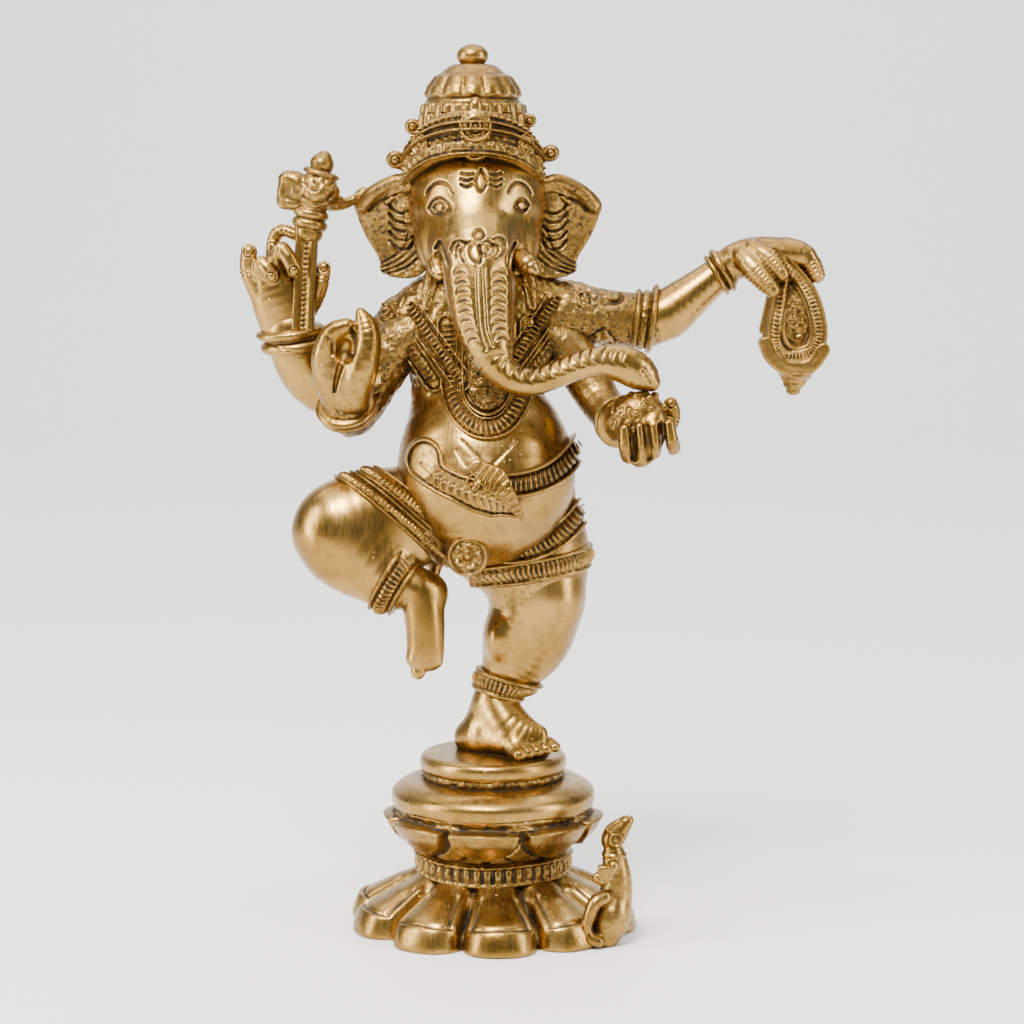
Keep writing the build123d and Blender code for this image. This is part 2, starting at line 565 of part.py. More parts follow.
with BuildPart() as left_tusk:
    add(tusk((6.0, -16.0, 168.0), (10.2, -22.0, 163.6), 2.8, 2.2))
    cut_back_to(head, trunk)
    drop_crumbs()

with BuildPart() as right_tusk:
    add(tusk((-13.0, -16.0, 168.0), (-16.4, -22.4, 161.4), 2.6, 1.2))
    cut_back_to(head, trunk)
    drop_crumbs()


def ear(side):
    """One ear: a flat leaf that flares from the cheek to the shoulder. The side is 1 or -1."""
    centre_x = -3.6
    outline = [(15.0, 186.5), (21.0, 187.4), (28.4, 182.4), (28.6, 175.0), (24.6, 165.6),
               (16.0, 164.4), (12.0, 174.0)]
    with BuildPart() as made:
        with BuildSketch(Plane.XZ.offset(1.0)):
            with BuildLine():
                Spline(*[(centre_x + side * x, z) for x, z in outline], periodic=True)
            make_face()
        extrude(amount=-4.4)
    return made.part


with BuildPart() as left_ear:
    add(ear(1))
    cut_back_to(head, torso, body_relief, noose_upper_arm)
    drop_crumbs()

with BuildPart() as right_ear:
    add(ear(-1))
    cut_back_to(head, torso, body_relief, axe_upper_arm)
    drop_crumbs()

with BuildPart() as axe_tie:
    add(limb([(-41.0, -1.8, 183.6, 2.6, 2.6), (-36.0, -0.6, 182.6, 1.8, 1.8), (-30.0, 0.8, 182.4, 2.4, 1.8)]))
    cut_back_to(axe_head, right_ear)
    drop_crumbs()

# ---- crown --------------------------------------------------------------------------------------
CROWN_X = -4.9
CROWN_Y = -2.4
CROWN_TILT = (0.0, -0.34, 1.0)

with BuildPart() as crown_band:
    with BuildSketch(Plane((-4.2, -5.6, 186.2), z_dir=CROWN_TILT)):
        Ellipse(17.4, 16.4)
    with BuildSketch(Plane((-4.5, -3.6, 194.0), z_dir=CROWN_TILT)):
        Ellipse(17.8, 16.2)
    with BuildSketch(Plane((CROWN_X, CROWN_Y, 199.6), z_dir=(0, -0.1, 1))):
        Ellipse(15.2, 14.4)
    loft()
    cut_back_to(head, left_ear, right_ear)
    drop_crumbs()

with BuildPart() as crown_dome:
    for height, radius in ((197.0, 14.4), (202.0, 13.2), (206.6, 11.6), (210.4, 8.6), (212.8, 5.8)):
        with BuildSketch(Plane((CROWN_X, CROWN_Y, height))):
            Circle(radius)
    loft()
    cut_back_to(head, crown_band)
    drop_crumbs()

with BuildPart() as crown_finial:
    with BuildSketch(Plane((CROWN_X, CROWN_Y, 212.8))):
        Circle(3.4)
    extrude(amount=2.4)
    with Locations((CROWN_X, CROWN_Y, HEIGHT - 3.3)):
        Sphere(3.3)

with BuildPart() as crown_medallion:
    with BuildSketch(Plane((-4.0, -14.4, 198.4), z_dir=(0, -1, 0.32))):
        Circle(5.8)
    extrude(amount=5.6, taper=6)
    cut_back_to(crown_dome, crown_band, head)
    drop_crumbs()

BUDS = {
    "crown_bud_right_high": (-20.6, -4.0, 200.0, 2.8),
    "crown_bud_right_low": (-25.0, -3.0, 191.8, 3.0),
    "crown_bud_left_high": (9.9, -4.0, 201.2, 2.6),
    "crown_bud_left_low": (15.6, -3.0, 193.4, 2.8),
}
buds = {}
for name, (x, y, z, radius) in BUDS.items():
    with BuildPart() as buds[name]:
        inward = (CROWN_X - x) * 0.35
        add(limb([(x - inward * 0.3, y, z, radius * 0.7, radius * 0.7), (x, y, z, radius, radius),
                  (x + inward, y, z - 1.0, radius, radius)]))
        cut_back_to(crown_band, crown_dome, head, left_ear, right_ear)
        drop_crumbs()

# ---- to the statue's own origin, and out --------------------------------------------------------
sections = {
    "lotus_base": lotus_base, "ribbed_collar": ribbed_collar, "upper_lotus": upper_lotus,
    "lotus_cushion": lotus_cushion, "foot_disc": foot_disc,
    "mouse_body": mouse_body, "mouse_head": mouse_head, "mouse_sweet": mouse_sweet,
    "standing_foot": standing_foot, "standing_anklet": standing_anklet, "standing_leg": standing_leg,
    "leg_hem": leg_hem, "dhoti": dhoti, "dhoti_fold": dhoti_fold, "thigh_hem": thigh_hem,
    "raised_knee": raised_knee, "raised_shin": raised_shin, "raised_anklet": raised_anklet,
    "raised_foot": raised_foot, "belt_medallion": belt_medallion,
    "torso": torso, "waist_sash": waist_sash, "sash_end": sash_end, "long_necklace": long_necklace,
    "necklace_pendant": necklace_pendant,
    "noose_upper_arm": noose_upper_arm, "noose_armlet": noose_armlet, "noose_forearm": noose_forearm,
    "noose_bangle": noose_bangle, "noose_hand": noose_hand, "noose": noose,
    "axe_upper_arm": axe_upper_arm, "axe_forearm": axe_forearm, "axe_bangles": axe_bangles,
    "axe_hand": axe_hand, "axe_handle": axe_handle, "axe_head": axe_head, "axe_tie": axe_tie,
    "blessing_arm": blessing_arm, "blessing_bangle": blessing_bangle, "blessing_hand": blessing_hand,
    "bowl_arm": bowl_arm, "bowl_bangle": bowl_bangle, "bowl_hand": bowl_hand, "sweet_bowl": sweet_bowl,
    "head": head, "trunk": trunk, "left_tusk": left_tusk, "right_tusk": right_tusk,
    "left_ear": left_ear, "right_ear": right_ear,
    "crown_band": crown_band, "crown_dome": crown_dome, "crown_finial": crown_finial,
    "crown_medallion": crown_medallion, **buds,
}

footprint = Compound([section.part for section in sections.values()]).bounding_box()
to_origin = Location((-footprint.center().X, -footprint.center().Y, -footprint.min.Z))
for name, section in sections.items():
    section.part = section.part.moved(to_origin)
    section.part.label = name
    export_step(section.part, f"parts/{name}.step")
print("origin moved by", to_origin.position, "size", footprint.size)
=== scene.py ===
"""Dancing elephant-headed figure on a lotus pedestal: antique brass, modelled as a sculptor models wax.

Every section is a field of signed distances, in millimetres from the pedestal's axis at the surface that it
stands on, with X to the right of a front view, -Y towards the viewer and Z up.  A section's skin is the
zero level of its field, and is moved into the row's frame as it is meshed.
"""

import math

import bpy
import numpy as np
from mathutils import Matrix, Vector


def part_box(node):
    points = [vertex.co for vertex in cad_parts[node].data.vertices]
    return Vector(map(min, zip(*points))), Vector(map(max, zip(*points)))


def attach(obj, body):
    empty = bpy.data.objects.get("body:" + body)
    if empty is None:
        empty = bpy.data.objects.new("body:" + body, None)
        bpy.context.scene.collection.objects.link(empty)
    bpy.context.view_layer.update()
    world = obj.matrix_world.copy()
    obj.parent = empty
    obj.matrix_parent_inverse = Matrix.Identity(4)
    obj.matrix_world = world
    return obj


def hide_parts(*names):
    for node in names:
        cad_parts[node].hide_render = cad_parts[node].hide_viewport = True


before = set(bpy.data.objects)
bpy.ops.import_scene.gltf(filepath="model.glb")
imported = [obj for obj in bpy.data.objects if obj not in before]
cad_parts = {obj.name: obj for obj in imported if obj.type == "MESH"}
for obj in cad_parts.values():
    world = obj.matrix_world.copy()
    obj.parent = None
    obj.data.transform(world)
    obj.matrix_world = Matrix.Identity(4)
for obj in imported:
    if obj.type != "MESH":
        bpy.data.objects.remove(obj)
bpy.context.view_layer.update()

MM = 0.001
VOXEL = 0.30  # spacing of the sculpting grid
BLOCK = 8  # grid points along a block's side
FAR = 9.0  # value far away from a section's skin
SLACK = 1.4  # how far a field may misjudge its distance from the skin
BATCH = 600  # blocks worked out at a time

disc_low, disc_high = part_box("foot_disc")
AXIS_X = (disc_low.x + disc_high.x) / 2 / MM
AXIS_Y = (disc_low.y + disc_high.y) / 2 / MM

# ---- fields -------------------------------------------------------------------------------------
# A point set is a tuple of three arrays, x, y and z.


def blend(a, b, k):
    """The union of two fields, rounded over the width k where they meet."""
    h = np.clip(0.5 + 0.5 * (b - a) / k, 0, 1)
    return b * (1 - h) + a * h - k * h * (1 - h)


def cut(a, b, k=0.3):
    """The part of field a outside field b, with its edge rounded over the width k."""
    return -blend(-a, b, k)


def both(a, b, k=0.3):
    """The part that two fields share, with its edge rounded over the width k."""
    return -blend(-a, -b, k)


def ease(value, low, high):
    """0 below low, 1 above high, and smooth between."""
    t = np.clip((value - low) / (high - low), 0, 1)
    return t * t * (3 - 2 * t)


def ridge(distance, width):
    """1 on a line and 0 beyond its half width."""
    return 1 - ease(np.abs(distance), 0.0, width)


def ball(p, centre, radius):
    return np.sqrt((p[0] - centre[0]) ** 2 + (p[1] - centre[1]) ** 2 + (p[2] - centre[2]) ** 2) - radius


def axes_of(along):
    """Unit vectors along a limb, across it in the front view, and from front to back."""
    along = Vector(along).normalized()
    side = Vector((0, 1, 0)).cross(along)
    side = side.normalized() if side.length > 0.05 else Vector((1, 0, 0))
    return along, side, along.cross(side)


def local(p, centre, along):
    """Coordinates of the points in a limb's own axes: across, front to back, and along."""
    u, s, v = axes_of(along)
    q = [p[i] - centre[i] for i in range(3)]
    return [q[0] * a[0] + q[1] * a[1] + q[2] * a[2] for a in (s, v, u)]


def egg(p, centre, radii, along=(0, 0, 1)):
    """An ellipsoid, its radii across, from front to back, and along."""
    q = local(p, centre, along)
    k0 = np.sqrt(sum((c / r) ** 2 for c, r in zip(q, radii)))
    k1 = np.sqrt(sum((c / r**2) ** 2 for c, r in zip(q, radii)))
    return k0 * (k0 - 1) / np.maximum(k1, 1e-6)


def slab(p, centre, sizes, along=(0, 0, 1), rounding=0.5):
    """A box with rounded edges, its half sizes across, from front to back, and along."""
    q = [np.abs(c) - h + rounding for c, h in zip(local(p, centre, along), sizes)]
    outside = np.sqrt(sum(np.maximum(c, 0) ** 2 for c in q))
    return outside + np.minimum(np.maximum(np.maximum(q[0], q[1]), q[2]), 0) - rounding


def smooth_path(points, steps):
    """A Catmull-Rom curve through points of any dimension."""
    points = np.array(points, float)
    padded = np.vstack([2 * points[0] - points[1], points, 2 * points[-1] - points[-2]])
    out = []
    for i in range(len(points) - 1):
        a, b, c, d = padded[i : i + 4]
        for t in np.arange(steps) / steps:
            out.append(
                0.5 * (2 * b + (c - a) * t + (2 * a - 5 * b + 4 * c - d) * t**2 + (3 * b - a - 3 * c + d) * t**3)
            )
    return np.array(out + [points[-1]])


def limb(p, stations, steps=3):
    """A limb through stations of x, y, z, half width and half depth."""
    path = smooth_path(stations, steps)
    best = np.full(p[0].shape, 1e3, np.float32)
    for a, b in zip(path, path[1:]):
        way = b[:3] - a[:3]
        length = float(np.linalg.norm(way))
        u, s, v = axes_of(way)
        q = [p[i] - a[i] for i in range(3)]
        forth = q[0] * u[0] + q[1] * u[1] + q[2] * u[2]
        t = np.clip(forth / length, 0, 1)
        across = q[0] * s[0] + q[1] * s[1] + q[2] * s[2]
        deep = q[0] * v[0] + q[1] * v[1] + q[2] * v[2]
        past = forth - t * length
        w = a[3] + (b[3] - a[3]) * t
        d = a[4] + (b[4] - a[4]) * t
        m = np.minimum(w, d)
        k0 = np.sqrt((across / w) ** 2 + (deep / d) ** 2 + (past / m) ** 2)
        k1 = np.sqrt((across / w**2) ** 2 + (deep / d**2) ** 2 + (past / m**2) ** 2)
        field = k0 * (k0 - 1) / np.maximum(k1, 1e-6)
        best = np.where(field < best, field, best)
    return best


def line_distance(x, z, points):
    """Distance of places in the front view from a line drawn there, how far along it, and on which side."""
    path = smooth_path(points, 4)
    best = np.full(x.shape, 1e3, np.float32)
    along = np.zeros_like(best)
    side = np.zeros_like(best)
    travelled = 0.0
    for a, b in zip(path, path[1:]):
        way = b - a
        length = float(np.hypot(*way)) or 1e-6
        t = np.clip(((x - a[0]) * way[0] + (z - a[1]) * way[1]) / length**2, 0, 1)
        dx = x - a[0] - t * way[0]
        dz = z - a[1] - t * way[1]
        d = np.sqrt(dx * dx + dz * dz)
        closer = d < best
        best = np.where(closer, d, best)
        along = np.where(closer, travelled + t * length, along)
        side = np.where(closer, np.sign(way[0] * dz - way[1] * dx), side)
        travelled += length
    return best, along, side


def off_line(x, z, points):
    return line_distance(x, z, points)[0]


def engrave(p, field, lines, width=0.42, depth=0.55, front=0.0):
    """Cuts lines drawn on the front view into a field's front, where y is below front."""
    for line in lines:
        pts = np.array(line, float)
        low, high = pts.min(0) - 1.5, pts.max(0) + 1.5
        near = (p[0] > low[0]) & (p[0] < high[0]) & (p[2] > low[1]) & (p[2] < high[1]) & (p[1] < front)
        if not near.any():
            continue
        d = off_line(p[0][near], p[2][near], line)
        field[near] += depth * ridge(d, width * 1.6)
    return field


def noise(p, size, seed=0):
    """Smooth noise from -1 to 1 whose bumps are about size across."""
    q = [c / size + 37.7 * (seed + 1) * (i + 1.3) for i, c in enumerate(p)]
    base = [np.floor(c) for c in q]
    frac = [c - b for c, b in zip(q, base)]
    frac = [f * f * (3 - 2 * f) for f in frac]
    base = [b.astype(np.int64) for b in base]
    total = 0.0
    for i in (0, 1):
        wx = frac[0] if i else 1 - frac[0]
        for j in (0, 1):
            wy = frac[1] if j else 1 - frac[1]
            for k in (0, 1):
                wz = frac[2] if k else 1 - frac[2]
                h = (base[0] + i) * 73856093 ^ (base[1] + j) * 19349663 ^ (base[2] + k) * 83492791
                h = (h ^ (h >> 13)) * 1274126177 & 0x7FFFFFFF
                total = total + wx * wy * wz * ((h % 65536) / 32768.0 - 1)
    return total.astype(np.float32)


# ---- from a field to a mesh ---------------------------------------------------------------------
def sample(field, low, high, step):
    """A field's values on a grid, worked out only in the blocks that the skin may pass through."""
    low = np.array(low, float)
    blocks = np.ceil((np.array(high, float) - low) / (step * BLOCK)).astype(int)
    centres = np.stack(np.meshgrid(*[np.arange(n) for n in blocks], indexing="ij"), -1).reshape(-1, 3)
    middle = low + (centres * BLOCK + (BLOCK - 1) / 2) * step
    rough = field(tuple(middle.T.astype(np.float32)))
    reach = step * BLOCK / 2 * math.sqrt(3) + SLACK
    values = np.empty(tuple(blocks * BLOCK), np.float32)
    tiled = values.reshape(blocks[0], BLOCK, blocks[1], BLOCK, blocks[2], BLOCK).transpose(0, 2, 4, 1, 3, 5)
    tiled[...] = np.where(rough < 0, -FAR, FAR).reshape(*blocks, 1, 1, 1)
    active = centres[np.abs(rough) < reach]
    inner = np.stack(np.meshgrid(*[np.arange(BLOCK)] * 3, indexing="ij"), -1).reshape(1, -1, 3)
    for start in range(0, len(active), BATCH):
        some = active[start : start + BATCH]
        points = (low + (some[:, None, :] * BLOCK + inner) * step).reshape(-1, 3).astype(np.float32)
        found = field((points[:, 0].copy(), points[:, 1].copy(), points[:, 2].copy()))
        tiled[some[:, 0], some[:, 1], some[:, 2]] = found.reshape(-1, BLOCK, BLOCK, BLOCK)
    return low, values


CORNERS = np.array([(i, j, k) for i in (0, 1) for j in (0, 1) for k in (0, 1)])
EDGES = [(a, b) for a in range(8) for b in range(a + 1, 8) if np.abs(CORNERS[a] - CORNERS[b]).sum() == 1]


def skin(values):
    """The zero level of a grid of values, as vertices in grid steps and quads facing outwards."""
    inside = values < 0
    nx, ny, nz = values.shape
    total = np.zeros((nx - 1, ny - 1, nz - 1), np.uint8)
    for i, j, k in CORNERS:
        total += inside[i : nx - 1 + i, j : ny - 1 + j, k : nz - 1 + k]
    cells = np.argwhere((total > 0) & (total < 8))
    number = np.full(total.shape, -1, np.int32)
    number[tuple(cells.T)] = np.arange(len(cells))
    corner_values = [values[tuple((cells + c).T)] for c in CORNERS]
    place = np.zeros((len(cells), 3))
    count = np.zeros(len(cells))
    for a, b in EDGES:
        va, vb = corner_values[a], corner_values[b]
        crossed = (va < 0) != (vb < 0)
        t = np.where(crossed, va / np.where(crossed, va - vb, 1), 0)
        place += np.where(crossed[:, None], CORNERS[a] + t[:, None] * (CORNERS[b] - CORNERS[a]), 0)
        count += crossed
    vertices = cells + place / count[:, None]
    quads = []
    for axis in range(3):
        u, v = np.eye(3, dtype=int)[(axis + 1) % 3], np.eye(3, dtype=int)[(axis + 2) % 3]
        step = np.eye(3, dtype=int)[axis]
        here = inside[: nx - step[0], : ny - step[1], : nz - step[2]]
        there = inside[step[0] :, step[1] :, step[2] :]
        nodes = np.argwhere(here != there)
        nodes = nodes[(nodes[:, (axis + 1) % 3] > 0) & (nodes[:, (axis + 2) % 3] > 0)]
        limit = np.array(total.shape)
        nodes = nodes[(nodes < limit).all(1)]
        solid = here[tuple(nodes.T)]
        ring = [number[tuple((nodes - shift).T)] for shift in (u + v, v, 0 * u, u)]
        quad = np.stack(ring, 1)
        quads.append(np.where(solid[:, None], quad, quad[:, ::-1]))
    return vertices, np.concatenate(quads)


def box_blur(grid, radius):
    """The mean over a cube of 2 * radius + 1 grid points a side."""
    for axis in range(3):
        width = 2 * radius + 1
        pad = [(0, 0)] * 3
        pad[axis] = (radius + 1, radius)
        total = np.cumsum(np.pad(grid, pad, mode="edge"), axis=axis, dtype=np.float64)
        upper = [slice(None)] * 3
        lower = [slice(None)] * 3
        upper[axis] = slice(width, None)
        lower[axis] = slice(None, -width)
        grid = ((total[tuple(upper)] - total[tuple(lower)]) / width).astype(np.float32)
    return grid


def read_grid(grid, places):
    """Trilinear reading of a grid at places given in grid steps."""
    limit = np.array(grid.shape) - 1.001
    places = np.clip(places, 0, limit)
    base = places.astype(int)
    frac = places - base
    total = 0.0
    for c in CORNERS:
        weight = np.prod(np.where(c, frac, 1 - frac), axis=1)
        total = total + weight * grid[tuple((base + c).T)]
    return total


sections = []


def sculpt(field, low, high, step=VOXEL, grain=0.0, nodes=None, name=None):
    """Meshes a field as one section that stands for CAD nodes; grain is how granular its ground is.

    A section without a name of its own has its field's, and stands for the node of the same name.
    """
    name = name or field.__name__
    corner, values = sample(field, low, high, step)
    vertices, quads = skin(values)
    soft = box_blur(np.clip(values, -1.2, 1.2), 2)
    sections.append(
        {
            "name": name, "nodes": [name] if nodes is None else nodes, "vertices": corner + vertices * step,
            "quads": quads, "cavity": -read_grid(soft, vertices), "grain": grain, "corner": corner,
            "step": step, "solid": values < 0,
        }
    )


# ---- ornament -----------------------------------------------------------------------------------
def rows_on(body, u, phase_of, rows):
    """Raised rows of a band on a body: each is its offset, width and height, then ribs and slant if ribbed."""
    band = np.full(body.shape, FAR, np.float32)
    for offset, width, height, *ribbing in rows:
        ribs, slant = ribbing or (0, 0)
        v = u - offset
        crown = np.sqrt(np.clip(1 - (2 * v / width) ** 2, 0.05, 1))
        rib = 0.5 + 0.5 * np.cos(phase_of(ribs) + slant * v) if ribs else 1.0
        relief = height * crown * (0.55 + 0.45 * rib)
        band = np.minimum(band, both(body - relief, np.abs(v) - width / 2, 0.35))
    return both(band, -(body + 1.1), 0.1)


def hoop(p, body, centre, along, rows):
    """A band round a limb; a row's ribs are their number all round."""
    across, deep, u = local(p, centre, along)
    turn = np.arctan2(deep, across)
    return rows_on(body, u, lambda ribs: ribs * turn, rows)


def strip(p, body, path, rows, front=0.0):
    """A band that follows a line of the front view over a body, and sinks into it towards the back.

    A row's ribs are their pitch in mm.
    """
    d, along, side = line_distance(p[0], p[2], path)
    sunk = 3.0 * (1 - ease(front - p[1], 0.0, 6.0))
    band = rows_on(body + sunk, d * side, lambda ribs: along * (2 * math.pi / ribs), rows)
    return both(band, p[1] - front, 0.3)


def boss(p, centre, along, radius, height, petals=0):
    """A round medallion: a rim, a rosette and a central bead."""
    across, deep, u = local(p, centre, along)
    r = np.sqrt(across**2 + deep**2)
    turn = np.arctan2(deep, across)
    top = height * (0.35 + 0.4 * ridge(r - radius * 0.86, radius * 0.16) + 0.65 * ridge(r, radius * 0.34))
    if petals:
        leaf = 0.5 + 0.5 * np.cos(petals * turn)
        top = top + 0.35 * height * leaf * ridge(r - radius * 0.56, radius * 0.24)
    return both(both(u - top, r - radius, 0.4), -(u + height * 1.6), 0.1)


# ---- limbs of the figure: x, y, z, half width, half depth ---------------------------------------
TORSO = [(-3.0, -4.0, 101.0, 8.0, 7.0), (-2.4, -7.0, 105.5, 16.5, 14.0), (-1.7, -8.5, 112.5, 21.4, 18.6),
         (-2.0, -7.5, 119.5, 21.2, 18.0), (-3.4, -4.0, 128.0, 17.6, 14.5), (-4.2, -1.0, 137.0, 16.2, 12.5),
         (-3.4, 0.0, 147.0, 19.0, 12.5), (-2.4, 0.5, 155.0, 19.5, 11.0), (-2.6, 0.5, 162.0, 12.5, 8.5)]
HIPS = [(9.5, 1.5, 93.5, 12.8, 12.8), (5.0, 1.0, 99.0, 16.8, 14.8), (1.5, -1.0, 106.0, 19.6, 15.2),
        (-0.5, -3.4, 112.5, 20.0, 13.6), (-1.5, -4.6, 116.5, 18.6, 11.6)]
THIGH = [(-6.0, -3.0, 104.3, 11.5, 11.0), (-13.0, -6.0, 104.6, 12.2, 11.5), (-22.0, -9.0, 104.4, 12.6, 11.4),
         (-30.0, -11.4, 103.6, 12.4, 11.0), (-36.0, -12.6, 102.2, 11.4, 10.4),
         (-41.0, -13.2, 101.0, 6.6, 6.6)]
SHIN = [(-40.0, -13.6, 99.6, 7.4, 7.4), (-36.4, -14.2, 97.2, 10.0, 9.2), (-30.4, -15.3, 93.4, 9.2, 8.6),
        (-24.0, -16.4, 89.0, 7.0, 6.6)]
RAISED_FOOT = [(-20.5, -17.0, 88.6, 5.6, 5.6), (-17.6, -17.4, 86.4, 5.4, 5.6), (-16.6, -18.6, 80.0, 4.9, 4.8),
               (-16.4, -19.6, 74.0, 4.6, 3.8), (-16.6, -20.2, 70.6, 4.6, 3.0)]
LEG = [(1.4, 1.3, 58.6, 5.0, 5.2), (2.8, 1.4, 62.6, 5.8, 6.2), (5.4, 1.8, 66.6, 8.2, 8.2),
       (8.0, 2.0, 71.6, 10.8, 10.2),
       (10.0, 1.4, 77.0, 11.5, 11.4), (11.3, 0.8, 83.0, 11.6, 12.0), (12.0, 0.5, 89.5, 11.5, 12.2),
       (12.0, 0.5, 96.0, 11.6, 12.4)]
ANKLE = [(-2.8, 1.8, 47.5, 5.6, 6.0), (-1.2, 1.6, 52.0, 5.5, 6.0), (0.5, 1.4, 57.0, 5.3, 5.6),
         (1.6, 1.2, 60.4, 5.4, 5.6)]
FOOT = [(-6.0, 3.0, 46.4, 3.4, 3.8), (-2.0, 1.4, 47.6, 4.8, 5.6), (3.0, -1.8, 47.0, 4.4, 6.4),
        (7.6, -4.8, 45.8, 3.0, 6.6), (10.4, -6.6, 45.0, 2.2, 6.2)]


# ---- pedestal -----------------------------------------------------------------------------------
LOWER_PETALS = 10
UPPER_PETALS = 8
COLLAR_RIBS = 46
COLLAR_BEADS = 60
RIM_R = 36.8  # the lower petals' tips


def polar(p):
    return np.sqrt(p[0] ** 2 + p[1] ** 2), np.arctan2(p[1], p[0])


def petal_angle(turn, count, start):
    """How far a direction is from the nearest of evenly spaced petals, as an angle."""
    step = 2 * math.pi / count
    return (turn - start + step / 2) % step - step / 2


def lower_lotus(p):
    rho, turn = polar(p)
    start = math.radians(-90 + 3.5)
    off = petal_angle(turn, LOWER_PETALS, start)
    f = np.abs(off) / (math.pi / LOWER_PETALS)
    scallop = 1 - 0.17 * f**3.0
    n = rho / scallop
    radii = [0, 18.6, 20.2, 23.0, 27.0, 31.5, 35.0, RIM_R]
    tops = [14.6, 14.4, 13.2, 11.2, 9.0, 6.8, 4.9, 2.8]
    top = np.interp(n, radii, tops)
    slope = np.interp(n, radii, [0.98, 0.9, 0.62, 0.7, 0.86, 0.92, 0.95, 0.97])
    edge = np.minimum((1 - f) * (math.pi / LOWER_PETALS) * rho, RIM_R - n)
    valley = -2.2 * np.exp(-(((1 - f) * rho * 0.314) / 1.0) ** 2) * ease(rho, 20, 24)
    groove = -0.85 * np.exp(-(((edge - 3.1) / 0.55) ** 2)) * ease(rho, 21.5, 23.5)
    middle = 0.9 * (1 - np.clip(f * 1.2, 0, 1) ** 2) * ease(rho, 20, 26)
    rim = 0.7 * np.exp(-(((edge - 1.5) / 1.3) ** 2)) * ease(rho, 20, 23)
    relief = valley + groove + middle + rim
    relief = relief + 0.28 * noise(p, 2.6, 3) * np.exp(-((edge / 1.6) ** 2))
    shell = (p[2] - top - relief) * slope
    wall = (n - RIM_R) * 0.95
    body = both(shell, wall, 3.4)
    hollow = both(both((p[2] - np.interp(rho, [0, 17.0, 20.0, 25.0, 30.0, 31],
                                         [11, 11, 7.0, 3.4, 0.6, 0]) ) * 0.7,
                       rho - 30.0, 0.5), -(p[2] + 3), 0.1)
    body = cut(body, hollow, 0.4)
    return both(body, -p[2] + 0.02 + 0.25 * (noise(p, 9.0, 5) * 0.5 + 0.5) * ease(rho, 30, 36), 0.5)


def collar(p):
    rho, turn = polar(p)
    rib = 0.5 + 0.5 * np.cos(COLLAR_RIBS * turn)
    z = p[2] + 0.25 * np.sin(turn * 3 + 1.0)
    belt = 0.9 * ease(rib, 0.15, 0.7) * ridge((z - 15.9) / 2.4, 1.0) ** 0.5
    cords = 0.8 * ridge(z - 18.3, 0.9) + 0.6 * ridge(z - 13.6, 0.8)
    bead = 0.35 * (0.5 + 0.5 * np.cos(COLLAR_BEADS * turn)) * ridge(z - 18.3, 0.9)
    radius = 19.2 + belt + cords + bead
    return both(rho - radius, np.abs(z - 16.2) - 3.2, 0.4)


def upper_lotus(p):
    rho, turn = polar(p)
    start = math.radians(-90 - 5.0)
    off = petal_angle(turn, UPPER_PETALS, start)
    lateral = off * 26.0
    wave = 0.5 * np.sin(turn * 4 + 0.7)
    base = np.interp(p[2], [18.4, 20.0, 22.0, 25.0, 28.0, 30.5, 32.0],
                     [18.6, 19.2, 20.2, 22.0, 23.6, 25.2, 24.6])
    half = 9.8 * np.sqrt(np.clip(1 - (np.clip(27.0 - p[2], 0, 7) / 6.6) ** 2, 0, 1))
    inside = half - np.abs(lateral)
    top = 28.6 - 0.5 * (lateral / 9.0) ** 2
    lens = ease(inside, -0.3, 1.4) * ease(top - p[2], -0.3, 0.7)
    swell = np.sqrt(np.clip(1 - (lateral / 10.0) ** 2, 0, 1))
    flare = 1.5 + 1.7 * swell + 1.2 * ease(p[2], 20.6, 25.0) + 0.5 * np.exp(-((inside - 0.9) / 0.6) ** 2)
    back_off = petal_angle(turn, UPPER_PETALS, start + math.pi / UPPER_PETALS) * 25.0
    back_top = 29.4 - 0.035 * back_off**2
    back_half = 8.6 * np.sqrt(np.clip((p[2] - 19.6) / 6.5, 0, 1))
    back = ease(back_half - np.abs(back_off), -0.2, 0.9) * ease(back_top - p[2], -0.2, 0.6)
    gap = 0.9 * np.exp(-((inside + 0.6) / 0.6) ** 2) * (np.abs(lateral) < 12) * ease(28.8 - p[2], 0, 0.6)
    relief = np.maximum(lens * flare, back * 0.9) - gap
    ground = 0.3 * noise(p, 1.1, 9) * ease(p[2], 28.3, 29.2) * (1 - lens)
    slope = 0.75
    body = (rho - base - relief - ground) * slope
    return both(body, np.abs(p[2] - 25.2 - 0.1 * wave) - 6.6, 0.4)


def cushion(p):
    rho, turn = polar(p)
    low = 30.2 + 0.5 * np.sin(turn * 5 + 0.9) + 0.35 * np.sin(turn * 3)
    shape = both(rho - 25.7, np.abs(p[2] - 33.0) - 4.6, 4.4)
    cone = (p[2] - np.interp(rho, [0, 19.0, 22.5, 26.5], [38.8, 38.0, 36.6, 34.4])) * 0.85
    body = both(shape, cone, 1.6)
    return both(body, low - p[2], 0.7)


def disc_ground(p):
    """The granular groove between the cushion and the foot disc."""
    rho, _ = polar(p)
    belt = 0.3 * noise(p, 1.0, 21)
    return both(rho - 18.0 - belt + 0.4 * np.abs(p[2] - 38.6), np.abs(p[2] - 38.4) - 1.6, 0.4)


def foot_disc(p):
    rho, _ = polar(p)
    top = 43.9 - 0.0042 * rho**2
    shape = both(rho - 18.5, np.abs(p[2] - 41.2) - 2.5, 2.4)
    shape = blend(shape, both(rho - 15.8, (p[2] - top) * 0.98, 1.4), 1.2)
    return both(shape, 38.8 - p[2], 0.6)


